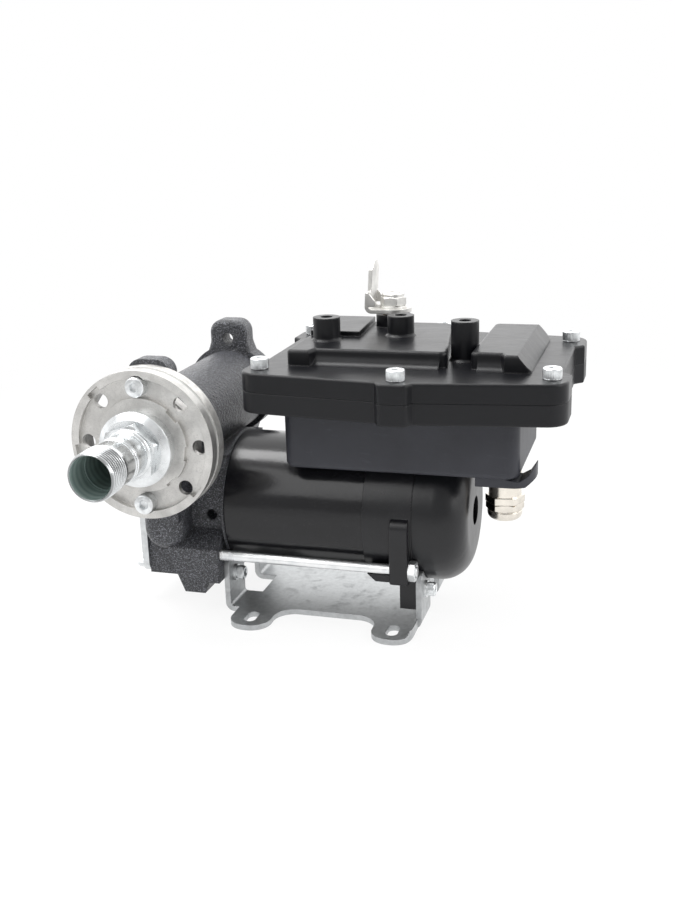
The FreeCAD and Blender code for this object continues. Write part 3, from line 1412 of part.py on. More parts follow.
# Switch box: rim outline shared by tub and lid.
rim_left = S.box_x - S.rim_half
rim_right = S.box_x + S.rim_half
boss_x = S.box_x + S.rim_boss_off
half_rim = [
    (rim_left + S.rim_recess, -S.rim_recess_y),
    (rim_left, -S.rim_recess_y - S.rim_recess),
    (rim_left, -S.rim_corner_y),
    (boss_x - S.rim_boss_foot, -S.rim_middle_y),
    (boss_x - S.rim_boss_half, -S.rim_boss_y),
    (boss_x + S.rim_boss_half, -S.rim_boss_y),
    (boss_x + S.rim_boss_foot, -S.rim_middle_y),
    (rim_right, -S.rim_corner_y),
    (rim_right, -S.rim_recess_y - S.rim_recess),
    (rim_right - S.rim_recess, -S.rim_recess_y),
]


def rim_plate(low, high):
    points = mirrored(half_rim)
    plate = slab("z", points, low, high)
    corners = [point for i in (2, 7) for point in (points[i], points[-1 - i])]
    round_corners(plate, S.rim_round, corners)
    bosses = [point for i in (4, 5) for point in (points[i], points[-1 - i])]
    return round_corners(plate, S.rim_round / 4, bosses)


def eased_plate(low, high, upper):
    """A rim plate with one large rounding at its open edge and a fine one at the joint."""
    plate = round_end(rim_plate(low, high), S.rim_edge_r, upper)
    return round_end(plate, S.joint_edge_r, not upper)


lid_screw_spots = [
    (S.box_x + end * (S.rim_half - S.lid_screw_in), side * S.lid_screw_y)
    for end in (-1, 1) for side in (-1, 1)
]
lid_screw_spots += [(boss_x, side * S.lid_screw_mid) for side in (-1, 1)]
tub_outline = [
    (S.tub_left, -S.tub_half),
    (S.tub_right, -S.tub_half),
    (S.tub_right, S.tub_half),
    (S.tub_left, S.tub_half),
]
inner_outline = [
    (S.tub_left + S.tub_wall, S.tub_wall - S.tub_half),
    (S.tub_right - S.tub_wall, S.tub_wall - S.tub_half),
    (S.tub_right - S.tub_wall, S.tub_half - S.tub_wall),
    (S.tub_left + S.tub_wall, S.tub_half - S.tub_wall),
]
tub_block = slab("z", tub_outline, S.tub_floor, S.rim_bottom + 1)
round_corners(tub_block, S.tub_round, tub_outline)
round_edges(tub_block, S.tub_edge_r, lambda edge: edge.BoundBox.ZMax < 1e-6)
saddle_r = bell_r + S.saddle_gap
saddle_right = cap_right + S.saddle_end
hollow = slab("z", inner_outline, S.tub_floor + S.tub_wall, S.rim_bottom + S.tub_wall + 1)
round_corners(hollow, S.tub_round - S.tub_wall, inner_outline)
saddle_shell = rod("x", saddle_r + S.tub_wall, S.tub_left, saddle_right + S.tub_wall, 0, S.motor_z)
gasket_outer = (S.rim_half - S.rim_cavity_end + 2 * S.lid_gasket_wide, S.rim_cavity_half + 2 * S.lid_gasket_wide)
gasket_inner = (gasket_outer[0] - S.lid_gasket_wide, gasket_outer[1] - S.lid_gasket_wide)


def frame_box(half_long, half_wide, low, high):
    return box((S.box_x - half_long, S.box_x + half_long), (-half_wide, half_wide), (low, high))


def gasket_ring(gap):
    return cut(
        frame_box(gasket_outer[0] + gap, gasket_outer[1] + gap, S.rim_top - S.lid_gasket_deep, S.rim_top),
        frame_box(gasket_inner[0] - gap, gasket_inner[1] - gap, S.rim_top - S.lid_gasket_deep - 1, S.rim_top + 1),
    )


board_left = S.tub_left + S.tub_wall + S.board_margin
board_right = board_left + S.board_long
board_half = S.tub_half - S.tub_wall - S.board_margin
post_spots = [
    (x, side * (board_half - S.post_y))
    for x in (board_left + S.post_x, board_right - S.post_x)
    for side in (-1, 1)
]
lip_profile = slab("y", [
    (S.lip_left, S.lip_bottom),
    (S.lip_right - 6, S.lip_bottom),
    (S.lip_right, S.lip_bottom + 4.5),
    (S.lip_right, S.lip_top),
    (S.lip_right - 4.5, S.lip_top - 7),
    (S.lip_right - 10, S.lip_top - 10.2),
    (S.lip_right - 18, S.tub_floor),
    (S.lip_right - 20, S.tub_floor + 2),
    (S.lip_left, S.tub_floor + 2),
], S.lip_front, S.lip_front + S.lip_wide)
lip_plan_r = S.lip_round
lip = common(lip_profile, fuse(
    rod("z", lip_plan_r, S.lip_bottom - 1, S.lip_top + 1, S.lip_right - lip_plan_r, S.lip_front + lip_plan_r),
    box((S.lip_left, S.lip_right - lip_plan_r), (S.lip_front, S.lip_front + S.lip_wide), (S.lip_bottom - 1, S.lip_top)),
    box((S.lip_left, S.lip_right), (S.lip_front + lip_plan_r, S.lip_front + S.lip_wide), (S.lip_bottom - 1, S.lip_top)),
))
tub_solid = fuse(
    cut(
        fuse(tub_block, eased_plate(S.rim_bottom, S.rim_top, False)),
        cut(hollow, saddle_shell),
        frame_box(S.rim_half - S.rim_cavity_end, S.rim_cavity_half, S.rim_bottom + S.tub_wall, S.rim_top + 1),
    ),
    *[rod("z", S.post_r, S.tub_floor + 1, S.board_z, x, y) for x, y in post_spots],
    lip,
)
mount_screw_spots = [S.mount_screw_first, S.mount_screw_first + S.mount_screw_pitch]
mount_seat = S.motor_z + saddle_r + S.tub_wall
tub_holes = [
    rod("x", saddle_r, S.tub_left - 1, saddle_right, 0, S.motor_z),
    rod("z", S.gland_thread_r + S.fit_gap, S.tub_floor - 1, S.tub_floor + S.tub_wall + 1, S.gland_x, 0),
    gasket_ring(S.fit_gap),
]
for x, y in lid_screw_spots:
    tub_holes.append(rod("z", small_tapped, S.rim_top - S.lid_screw_grip - 1, S.rim_top + 1, x, y))
for x in mount_screw_spots:
    tub_holes.append(rod("z", S.mount_screw_r + S.fit_gap, S.motor_z + S.tube_r, mount_seat + 1, x, 0))
node("box_tub", cut(tub_solid, *tub_holes))
node("lid_gasket", gasket_ring(0))

pad_outer = saddle_r - S.fit_gap
pad_holes = [
    rod("z", S.mount_screw_r + S.fit_gap, S.motor_z + S.tube_r - 1, mount_seat, x, 0)
    for x in mount_screw_spots
]
node("saddle_pad", cut(
    common(
        ring(
            "x", pad_outer, S.tube_r + S.fit_gap,
            S.saddle_pad_left, S.saddle_pad_left + S.saddle_pad_long, 0, S.motor_z,
        ),
        box(
            (S.saddle_pad_left, S.saddle_pad_left + S.saddle_pad_long),
            (-S.saddle_pad_half, S.saddle_pad_half),
            (S.motor_z, S.motor_z + S.tube_r * 2),
        ),
    ),
    *pad_holes,
))
mount_tip = S.motor_z + tube_inner + 0.2
node("box_mount_screws", group(*[
    fuse(
        rod("z", S.mount_screw_r, mount_tip, mount_seat, x, 0),
        rod("z", S.mount_head_r, mount_seat, mount_seat + S.mount_head, x, 0),
    )
    for x in mount_screw_spots
]))
node("motor_tube", cut(motor_tube, *[
    rod("z", S.mount_screw_r + S.fit_gap, S.motor_z + tube_inner - 2, S.motor_z + S.tube_r + 2, x, 0)
    for x in mount_screw_spots
]))

# Control board and terminal block inside the tub.
board_top = S.board_z + S.board_thick
node("control_board", box(
    (board_left, board_right), (-board_half, board_half), (S.board_z, board_top),
))
node("terminal_block", box(
    (S.block_x, S.block_x + S.block_long),
    (-S.block_wide / 2, S.block_wide / 2),
    (board_top, board_top + S.block_tall),
))

# Lid: rim, raised deck, right block, rear panel, three short cylinders and a collar.
deck_points = [
    (S.deck_left, S.step_front),
    (S.step_right, S.step_front),
    (S.step_right + 3, S.deck_front),
    (S.deck_end_front, S.deck_front),
    (S.deck_end_back, S.deck_back),
    (S.deck_left, S.deck_back),
]
deck = slab("z", deck_points, S.lid_rim_top - 1, S.deck_top)
round_corners(deck, S.deck_round, [deck_points[i] for i in (0, 3, 4, 5)])
round_end(deck, S.deck_edge_r)
block_top = S.deck_top + S.block_rise
block_points = [
    (S.block_left, S.deck_front),
    (S.block_step - 3, S.deck_front),
    (S.block_step, S.step_front),
    (S.deck_right, S.step_front),
    (S.deck_right, S.deck_back),
    (S.block_left, S.deck_back),
]
block_plan = slab("z", block_points, S.lid_rim_top - 1, block_top)
round_corners(block_plan, S.deck_round, [block_points[i] for i in (0, 3, 4, 5)])
round_end(block_plan, S.deck_edge_r)
right_block = common(
    block_plan,
    slab("y", [
        (S.block_left - 1, S.lid_rim_top - 2),
        (S.deck_right + 1, S.lid_rim_top - 2),
        (S.deck_right, S.lid_rim_top + 1),
        (S.deck_right - S.block_slope, block_top),
        (S.block_left - 1, block_top),
    ], S.step_front - 1, S.deck_back + 1),
)


def cove(wall, left, right):
    """A hollow sweep at the foot of a front wall."""
    foot = S.lid_rim_top
    return cut(
        box((left, right), (wall - S.cove_r, wall + 1), (foot - 1, foot + S.cove_r - S.cove_sink)),
        rod("x", S.cove_r, left - 1, right + 1, wall - S.cove_r, foot + S.cove_r - S.cove_sink),
    )


coves = [
    cove(S.deck_front, S.step_right, S.deck_end_front - S.deck_round),
    cove(S.deck_front, S.block_left + S.deck_round, S.block_step - 1),
]
rear_panel = slab("z", [
    (S.deck_left + 2, S.panel_front),
    (S.panel_right, S.panel_front),
    (S.panel_right - 4, S.deck_back - 1),
    (S.deck_left + 2, S.deck_back - 1),
], S.deck_top - 1, S.deck_top + S.panel_rise)
turret_spots = [
    (S.left_turret_x, S.left_turret_y, S.left_turret_top, S.deck_top),
    (S.mid_turret_x, S.mid_turret_y, S.mid_turret_top, S.deck_top),
    (S.right_turret_x, S.right_turret_y, S.right_turret_top, S.lid_rim_top),
]
turrets = []
for x, y, top, floor in turret_spots:
    turrets.append(rod("z", S.turret_r, S.lid_rim_top - 1, top, x, y))
    turrets.append(cone(
        "z", S.turret_r + S.turret_foot, S.turret_r, floor, floor + S.turret_foot, x, y,
    ))
bush_r = S.lever_shaft_r + S.fit_gap + S.bush_wall
neck = rod("z", bush_r + S.neck_wall, S.lid_rim_top - 1, S.neck_top, S.lever_x, S.lever_y)
deck_hollow_top = S.deck_top - S.lid_wall
lid_hollow = slab("z", [
    (S.deck_left + S.lid_wall, S.deck_front + S.lid_wall),
    (S.deck_end_front - S.lid_wall * 2, S.deck_front + S.lid_wall),
    (S.deck_end_back - S.lid_wall * 2, S.deck_back - S.lid_wall),
    (S.deck_left + S.lid_wall, S.deck_back - S.lid_wall),
], S.rim_top + 1, deck_hollow_top)
block_hollow = box(
    (S.block_left + S.lid_wall, S.deck_right - S.block_slope - S.lid_wall),
    (S.deck_front + S.lid_wall, S.deck_back - S.lid_wall),
    (S.rim_top + 1, deck_hollow_top),
)
rim_hollow = frame_box(
    S.rim_half - S.rim_cavity_end, S.rim_cavity_half, S.rim_top - 1, S.lid_rim_top - S.lid_wall,
)
turret_roots = [
    rod("z", S.turret_r, S.lid_rim_top - S.lid_wall, top, x, y) for x, y, top, floor in turret_spots[:2]
]
lid_holes = [
    cut(
        fuse(lid_hollow, block_hollow, rim_hollow),
        *turret_roots,
        rod(
            "z", bush_r + S.neck_wall - 1.6, S.lid_rim_top - S.lid_wall, S.neck_top,
            S.lever_x, S.lever_y,
        ),
    ),
    rod("z", bush_r + S.run_gap, S.rim_top, S.neck_top + 1, S.lever_x, S.lever_y),
]
for x, y, top, floor in turret_spots:
    lid_holes.append(rod("z", S.turret_hole_r, top - S.turret_hole_deep, top + 1, x, y))
for x, y in lid_screw_spots:
    lid_holes.append(rod("z", small_hole, S.rim_top - 1, S.lid_rim_top + 1, x, y))
lid_solid = fuse(
    eased_plate(S.rim_top, S.lid_rim_top, True),
    deck, right_block, rear_panel, *coves, *turrets, neck,
)
node("box_lid", cut(lid_solid, *lid_holes))
node("lid_screws", group(*[
    cap_screw(
        "z", 1, S.lid_rim_top, x, y, LID, S.lid_rim_top - S.rim_top + S.lid_screw_grip,
    )
    for x, y in lid_screw_spots
]))

# Lever on its shaft, with a cam that works the switch.
node("shaft_bush", ring(
    "z", bush_r, S.lever_shaft_r + S.fit_gap, S.lid_rim_top - S.lid_wall, S.neck_top, S.lever_x, S.lever_y,
))
shoulder_bottom = S.neck_top + S.clear_gap
node("switch_shaft", turned("z", [
    (S.lever_shaft_bottom, 0),
    (S.lever_shaft_top, 0),
    (S.lever_shaft_top, S.lever_shaft_r - 0.8),
    (S.lever_shaft_top - 0.8, S.lever_shaft_r),
    (S.lever_bottom, S.lever_shaft_r),
    (S.lever_bottom, S.shoulder_r),
    (shoulder_bottom, S.shoulder_r),
    (shoulder_bottom, S.lever_shaft_r),
    (S.lever_shaft_bottom, S.lever_shaft_r),
], S.lever_x, S.lever_y))
lever_low_y = S.lever_y - S.lever_wide / 2
lever_high_y = S.lever_y + S.lever_wide / 2
lever_right = S.lever_x + S.lever_wide / 2
blade_right = S.lever_left + S.lever_sheet
foot_top = S.lever_bottom + S.lever_sheet
blade_top = S.lever_bottom + S.lever_tall
fold_points = [
    (S.lever_left, S.lever_bottom),
    (lever_right, S.lever_bottom),
    (lever_right, foot_top),
    (blade_right, foot_top),
    (blade_right + S.lever_lean, blade_top),
    (S.lever_left + S.lever_lean, blade_top),
]
fold = slab("y", fold_points, lever_low_y, lever_high_y)
round_corners(fold, S.lever_bend_r + S.lever_sheet, fold_points[:1])
round_corners(fold, S.lever_bend_r, fold_points[3:4])
lever_plan = fuse(
    box((S.lever_left, S.lever_x), (lever_low_y, lever_high_y), (S.lever_bottom, blade_top)),
    rod("z", S.lever_wide / 2, S.lever_bottom, blade_top, S.lever_x, S.lever_y),
)
blade_low_y = lever_low_y + S.lever_set_back
blade_wide = S.lever_wide - S.lever_set_back
peak_points = [
    (lever_low_y, S.lever_bottom),
    (lever_high_y, S.lever_bottom),
    (lever_high_y, blade_top - S.lever_peak),
    (lever_high_y - blade_wide * 0.32, blade_top),
    (blade_low_y + blade_wide * 0.32, blade_top),
    (blade_low_y, blade_top - S.lever_peak),
    (blade_low_y, foot_top + S.lever_rim_tall),
    (lever_low_y, foot_top + S.lever_rim_tall),
]
peak = slab("x", peak_points, S.lever_left, lever_right)
round_corners(peak, S.lever_peak / 2, peak_points[2:6])
rims = [
    slab("y", [
        (S.lever_left + 1, S.lever_bottom + S.lever_sheet + S.lever_bend_r),
        (blade_right + S.lever_rim, S.lever_bottom + S.lever_sheet + S.lever_bend_r),
        (blade_right + S.lever_rim, foot_top + S.lever_rim_tall / 2),
        (blade_right, foot_top + S.lever_rim_tall),
        (S.lever_left + 1, foot_top + S.lever_rim_tall),
    ], low, high)
    for low, high in (
        (lever_low_y, lever_low_y + S.lever_rim_thick),
        (lever_high_y - S.lever_rim_thick, lever_high_y),
    )
]
node("lever", cut(
    fuse(common(fold, lever_plan, peak), *rims),
    rod("z", S.lever_shaft_r + S.fit_gap, S.lever_bottom - 1, foot_top + 1, S.lever_x, S.lever_y),
))
washer_top = foot_top + S.lever_washer_thick
node("lever_washer", ring(
    "z", S.lever_washer_r, S.lever_shaft_r + S.fit_gap, foot_top, washer_top, S.lever_x, S.lever_y,
))
nut_top = washer_top + S.lever_nut_tall
nut_shoulder = washer_top + S.lever_nut_tall * 0.72
node("lever_nut", cut(
    fuse(
        hexagon("z", S.lever_nut_across, washer_top, nut_shoulder, S.lever_x, S.lever_y),
        rod("z", S.lever_nut_across / 2 - 0.3, nut_shoulder, nut_top, S.lever_x, S.lever_y),
    ),
    rod("z", S.lever_shaft_r + S.fit_gap, washer_top - 1, nut_top + 1, S.lever_x, S.lever_y),
))
cam_points = []
for degrees in range(0, 360, 10):
    if degrees >= 300:
        rise = S.cam_lift * ((360 - degrees) / 60)
    elif degrees >= 250:
        rise = S.cam_lift
    elif degrees >= 200:
        rise = S.cam_lift * ((degrees - 200) / 50)
    else:
        rise = size(0)
    cam_points.append((
        S.lever_x + (S.cam_r + rise) * cosine(degrees),
        S.lever_y + (S.cam_r + rise) * sine(degrees),
    ))
node("switch_cam", cut(
    slab("z", cam_points, S.cam_bottom, S.cam_bottom + S.cam_thick),
    rod(
        "z", S.lever_shaft_r + S.run_gap, S.cam_bottom - 1, S.cam_bottom + S.cam_thick + 1,
        S.lever_x, S.lever_y,
    ),
))
plunger_left = S.lever_x + S.cam_r + S.clear_gap
plunger_right = plunger_left + S.plunger_long
node("switch_plunger", rod(
    "x", S.plunger_r, plunger_left, plunger_right, S.lever_y, S.plunger_z,
))
switch_bottom = S.rim_bottom + S.tub_wall
node("micro_switch", cut(
    box(
        (S.switch_left, S.switch_left + S.switch_long),
        (S.lever_y - S.switch_wide / 2, S.lever_y + S.switch_wide / 2),
        (switch_bottom, switch_bottom + S.switch_tall),
    ),
    rod(
        "x", S.plunger_r + S.fit_gap, S.switch_left - 1, plunger_right + S.cam_lift + 0.5,
        S.lever_y, S.plunger_z,
    ),
))

# Cable gland under the far end of the tub.
neck_bottom = S.tub_floor - S.gland_neck
hex_bottom = neck_bottom - S.gland_hex
lower_end = hex_bottom - S.gland_lower
locknut_bottom = S.tub_floor + S.tub_wall
gland_top = locknut_bottom + S.locknut_tall + 2
node("gland_body", fuse(
    turned("z", [
        (lower_end, S.gland_bore_r),
        (gland_top, S.gland_bore_r),
        (gland_top, S.gland_thread_r),
        (S.tub_floor, S.gland_thread_r),
        (S.tub_floor, S.gland_neck_r),
        (hex_bottom, S.gland_neck_r),
        (hex_bottom, S.gland_lower_r),
        (lower_end, S.gland_lower_r),
    ], S.gland_x, 0),
    cut(
        hexagon("z", S.gland_across, hex_bottom, neck_bottom, S.gland_x, 0, 8),
        rod("z", S.gland_bore_r, hex_bottom - 1, neck_bottom + 1, S.gland_x, 0),
    ),
))
node("gland_locknut", cut(
    hexagon("z", S.locknut_across, locknut_bottom, locknut_bottom + S.locknut_tall, S.gland_x, 0, 30),
    rod(
        "z", S.gland_thread_r + S.fit_gap, locknut_bottom - 1, locknut_bottom + S.locknut_tall + 1,
        S.gland_x, 0,
    ),
))
dome_bottom = hex_bottom - S.dome_tall
dome_floor_top = dome_bottom + S.dome_floor
dome = turned("z", [
    (dome_bottom, S.cable_r + 1.5),
    (dome_floor_top, S.cable_r + 1.5),
    (dome_floor_top, S.gland_lower_r + S.fit_gap),
    (hex_bottom, S.gland_lower_r + S.fit_gap),
    (hex_bottom, S.dome_r),
    (dome_bottom, S.dome_r),
], S.gland_x, 0)
round_rings(dome, S.dome_round, [(dome_bottom, S.dome_r)])
node("gland_dome_nut", dome)
node("gland_seal", turned("z", [
    (dome_floor_top, S.cable_r),
    (hex_bottom, S.cable_r),
    (hex_bottom, S.gland_bore_r - S.fit_gap),
    (lower_end, S.gland_bore_r - S.fit_gap),
    (lower_end, S.gland_lower_r),
    (dome_floor_top, S.gland_lower_r),
], S.gland_x, 0))

doc.recompute()
troubles = []
for item in doc.Objects:
    for state in ("Invalid", "Error"):
        if state in item.State:
            troubles.append("%s %s" % (item.Label, state))
for label, item in NODES.items():
    shape = item.Shape
    if shape.isNull() or not shape.isValid() or not shape.Solids:
        troubles.append("%s has no valid solid" % label)
if troubles:
    raise SystemExit("\n".join(troubles))
os.makedirs("parts", exist_ok=True)
for label, item in NODES.items():
    item.Shape.exportStep(os.path.join("parts", label + ".step"))
print("%d parts written" % len(NODES))
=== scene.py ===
"""Looks of an electric fuel transfer pump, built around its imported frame."""

import math
from types import SimpleNamespace

import bmesh
import bpy
from mathutils import Matrix, Vector


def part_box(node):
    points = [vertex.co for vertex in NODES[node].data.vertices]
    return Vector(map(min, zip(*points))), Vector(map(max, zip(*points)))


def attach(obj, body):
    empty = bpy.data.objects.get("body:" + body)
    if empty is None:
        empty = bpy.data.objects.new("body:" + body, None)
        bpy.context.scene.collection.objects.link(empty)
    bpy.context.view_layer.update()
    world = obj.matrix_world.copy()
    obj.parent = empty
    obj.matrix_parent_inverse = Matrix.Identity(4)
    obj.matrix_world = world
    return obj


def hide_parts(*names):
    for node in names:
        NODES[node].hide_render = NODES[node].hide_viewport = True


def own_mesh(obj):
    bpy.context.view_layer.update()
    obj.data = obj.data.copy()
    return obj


bl_info = {
    "name": "Fuel transfer pump",
    "version": (1, 0, 0),
    "blender": (4, 5, 0),
    "location": "View3D > Sidebar > Pump",
    "description": "Finishes and details of an electric fuel transfer pump",
    "category": "Object",
}

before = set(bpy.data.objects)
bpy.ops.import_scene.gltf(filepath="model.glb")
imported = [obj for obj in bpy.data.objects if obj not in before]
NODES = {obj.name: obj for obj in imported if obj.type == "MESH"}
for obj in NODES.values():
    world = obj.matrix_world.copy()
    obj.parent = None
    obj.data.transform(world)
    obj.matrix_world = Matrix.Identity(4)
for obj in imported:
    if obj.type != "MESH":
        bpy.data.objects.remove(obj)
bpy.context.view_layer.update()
MM = 0.001
SHARP = math.radians(32)  # an edge that folds more than this stays crisp
WELD = 2e-6  # points of a CAD mesh that are nearer than this are one, in metres

# Colours of small and inner parts, and of what lies on a surface
JOINT_GREY = (0.22, 0.22, 0.23)
BOARD_GREEN = (0.012, 0.10, 0.035)
BLOCK_GREEN = (0.03, 0.10, 0.04)
SWITCH_BLACK = (0.02, 0.02, 0.02)
PLUNGER_RED = (0.35, 0.05, 0.04)
BRONZE = (0.55, 0.36, 0.16)
GROUND_STEEL = (0.62, 0.62, 0.63)
CORE_STEEL = (0.30, 0.30, 0.31)
SPRING_STEEL = (0.42, 0.42, 0.43)
COPPER = (0.66, 0.33, 0.16)
# Copper wire colours: painted shade between the wires and a painted highlight on their crests
WIRE_PAINTED_SHADE = (0.16, 0.05, 0.02)
WIRE_PAINTED_HIGHLIGHT = (0.72, 0.30, 0.12)
FERRITE = (0.05, 0.05, 0.055)
CARBON_BLACK = (0.02, 0.02, 0.02)
BRUSH_GEAR_BROWN = (0.10, 0.06, 0.03)
PAD_TIN = (0.55, 0.5, 0.4)
BORE_DARK = (0.17, 0.23, 0.215)
BORE_PALE = (0.36, 0.44, 0.42)
DUST = (0.05, 0.05, 0.05)
FLOOR_WHITE = (0.93, 0.93, 0.93)
WHITE = (1, 1, 1)

PUMP_MIDDLE = Vector((-0.02, -0.02, 0.12))  # where the lamps point


class PumpColours(bpy.types.PropertyGroup):
    """Base colours of the pump's finishes."""

    casting: bpy.props.FloatVectorProperty(
        name="Coated casting", description="Black coating of the cast pump block",
        subtype="COLOR", size=3, min=0, max=1, default=(0.030, 0.031, 0.035))
    paint: bpy.props.FloatVectorProperty(
        name="Motor paint", description="Gloss paint of the motor tube and bell",
        subtype="COLOR", size=3, min=0, max=1, default=(0.004, 0.004, 0.005))
    plastic: bpy.props.FloatVectorProperty(
        name="Box plastic", description="Moulded plastic of the switch box",
        subtype="COLOR", size=3, min=0, max=1, default=(0.0075, 0.0078, 0.0096))
    aluminium: bpy.props.FloatVectorProperty(
        name="Aluminium", description="Cast and turned inlet flange",
        subtype="COLOR", size=3, min=0, max=1, default=(0.70, 0.69, 0.67))
    zinc: bpy.props.FloatVectorProperty(
        name="Zinc", description="Zinc-plated steel of bracket, rods and screws",
        subtype="COLOR", size=3, min=0, max=1, default=(0.84, 0.86, 0.87))
    stainless: bpy.props.FloatVectorProperty(
        name="Stainless", description="Polished steel of the switch lever",
        subtype="COLOR", size=3, min=0, max=1, default=(0.88, 0.87, 0.84))
    nickel: bpy.props.FloatVectorProperty(
        name="Nickel", description="Nickel-plated brass of the cable gland",
        subtype="COLOR", size=3, min=0, max=1, default=(0.86, 0.81, 0.73))
    rubber: bpy.props.FloatVectorProperty(
        name="Rubber", description="Gaskets and seals",
        subtype="COLOR", size=3, min=0, max=1, default=(0.014, 0.014, 0.014))
    fibre: bpy.props.FloatVectorProperty(
        name="Fibre", description="Pressed fibre behind the inlet flange",
        subtype="COLOR", size=3, min=0, max=1, default=(0.30, 0.30, 0.29))


class PumpSizes(bpy.types.PropertyGroup):
    """Sizes of grain, rounded edges, threads and knurls."""

    cast_grain: bpy.props.FloatProperty(
        name="Casting grain", description="Width of the coating's grains",
        subtype="DISTANCE", precision=4, default=0.0018, min=0.0002, max=0.005)
    edge: bpy.props.FloatProperty(
        name="Edge rounding", description="How far metal edges look rounded",
        subtype="DISTANCE", precision=4, default=0.0007, min=0.0, max=0.003)
    box_edge: bpy.props.FloatProperty(
        name="Box edge rounding", description="How far the switch box's edges look rounded",
        subtype="DISTANCE", precision=4, default=0.0016, min=0.0, max=0.004)
    cast_edge: bpy.props.FloatProperty(
        name="Casting edge rounding", description="How far the casting's edges look rounded",
        subtype="DISTANCE", precision=4, default=0.0024, min=0.0, max=0.005)
    pipe_pitch: bpy.props.FloatProperty(
        name="Pipe thread pitch", description="Pitch of the inlet thread",
        subtype="DISTANCE", precision=6, default=0.002309, min=0.0005, max=0.005)
    rod_pitch: bpy.props.FloatProperty(
        name="Rod thread pitch", description="Pitch of the rods' threads",
        subtype="DISTANCE", precision=5, default=0.00125, min=0.0004, max=0.003)
    knurls: bpy.props.IntProperty(
        name="Knurls", description="Ridges round a screw head", default=36, min=12, max=60)


class PumpStudio(bpy.types.PropertyGroup):
    """Camera and light."""

    lens: bpy.props.FloatProperty(
        name="Lens", description="Focal length for a 36 mm sensor",
        subtype="DISTANCE_CAMERA", default=46.17, min=10)
    place: bpy.props.FloatVectorProperty(
        name="Camera place", description="Where the camera stands",
        subtype="TRANSLATION", size=3, default=(0.2331, -0.7746, 0.3573))
    turn: bpy.props.FloatProperty(
        name="Camera turn", description="How far round to the pump's right the camera stands",
        subtype="ANGLE", default=math.radians(16.89))
    lift: bpy.props.FloatProperty(
        name="Camera lift", description="How far down the camera looks",
        subtype="ANGLE", default=math.radians(16.67))
    roll: bpy.props.FloatProperty(
        name="Camera roll", description="How far the camera leans",
        subtype="ANGLE", default=math.radians(-1.76))
    key: bpy.props.FloatProperty(
        name="Key light", description="Power of the large soft light",
        subtype="POWER", default=9.0, min=0)
    fill: bpy.props.FloatProperty(
        name="Fill light", description="Power of the light from the right",
        subtype="POWER", default=6.0, min=0)
    top: bpy.props.FloatProperty(
        name="Top light", description="Power of the light from above",
        subtype="POWER", default=10.0, min=0)
    room: bpy.props.FloatProperty(
        name="Room behind", description="Brightness of the pale room behind the pump",
        default=1.7, min=0)
    room_front: bpy.props.FloatProperty(
        name="Room in front", description="Brightness of the room on the camera's side",
        default=0.55, min=0)


def chosen(scene):
    """The panel's colours as plain tuples, and its sizes with their lengths in millimetres."""
    colours = {name: tuple(getattr(scene.pump_colours, name)) for name in PumpColours.__annotations__}
    sizes = {}
    for name in PumpSizes.__annotations__:
        value = getattr(scene.pump_sizes, name)
        sizes[name] = value / MM if isinstance(value, float) else value
    return SimpleNamespace(**colours), SimpleNamespace(**sizes)


class Wire:
    """A node's output on which arithmetic can be written."""

    def __init__(self, nodes, socket):
        self.nodes = nodes
        self.socket = socket

    def __add__(self, other):
        return self.nodes.maths("ADD", self, other)

    def __radd__(self, other):
        return self.nodes.maths("ADD", other, self)

    def __sub__(self, other):
        return self.nodes.maths("SUBTRACT", self, other)

    def __rsub__(self, other):
        return self.nodes.maths("SUBTRACT", other, self)

    def __mul__(self, other):
        return self.nodes.maths("MULTIPLY", self, other)

    def __rmul__(self, other):
        return self.nodes.maths("MULTIPLY", other, self)

    def __pow__(self, other):
        return self.nodes.maths("POWER", self, other)

    def __rpow__(self, other):
        return self.nodes.maths("POWER", other, self)

    def __gt__(self, other):
        return self.nodes.maths("GREATER_THAN", self, other)

    def __lt__(self, other):
        return self.nodes.maths("LESS_THAN", self, other)


class Nodes:
    """The nodes of one material or of the room."""

    def __init__(self, tree):
        self.tree = tree
        self.tree.nodes.clear()

    def feed(self, socket, value):
        """Links a wire to a socket, or sets the socket to a number, vector or colour."""
        if isinstance(value, Wire):
            self.tree.links.new(value.socket, socket)
        elif socket.type == "RGBA" and len(value) == 3:
            socket.default_value = (*value, 1)
        else:
            socket.default_value = value

    def node(self, kind, settings=None, inputs=None):
        """Makes a node of any kind: first its settings, then the values or wires of its sockets."""
        node = self.tree.nodes.new(kind)
        for name, value in (settings or {}).items():
            if name != "stops":
                setattr(node, name, value)
                continue
            elements = node.color_ramp.elements
            while len(elements) < len(value):
                elements.new(0.5)
            for element, (position, grey) in zip(elements, value):
                element.position = position
                element.color = (grey, grey, grey, 1)
        for name, value in (inputs or {}).items():
            self.feed(node.inputs[name], value)
        return node

    def wires(self, node, *names):
        """Some of a node's outputs."""
        return [Wire(self, node.outputs[name]) for name in names]

    def add(self, kind, settings=None, inputs=None, output=0):
        """Makes a node and gives one of its outputs."""
        return self.wires(self.node(kind, settings, inputs), output)[0]

    def maths(self, operation, *values):
        return self.add("ShaderNodeMath", {"operation": operation}, dict(enumerate(values)))

    def mix(self, factor, low, high):
        """One colour where the factor is 0, the other where it is 1."""
        return self.add("ShaderNodeMix", {"data_type": "RGBA"}, {0: factor, 6: low, 7: high}, output=2)

    def ramp(self, value, *stops):
        """Greys that follow a value; a stop is a value and its grey."""
        return self.add("ShaderNodeValToRGB", {"stops": stops}, {0: value})

    def between(self, value, low, high):
        """0 where a value is under `low`, rising to 1 where it is over `high`."""
        return self.ramp(value, (low, 0.0), (high, 1.0))


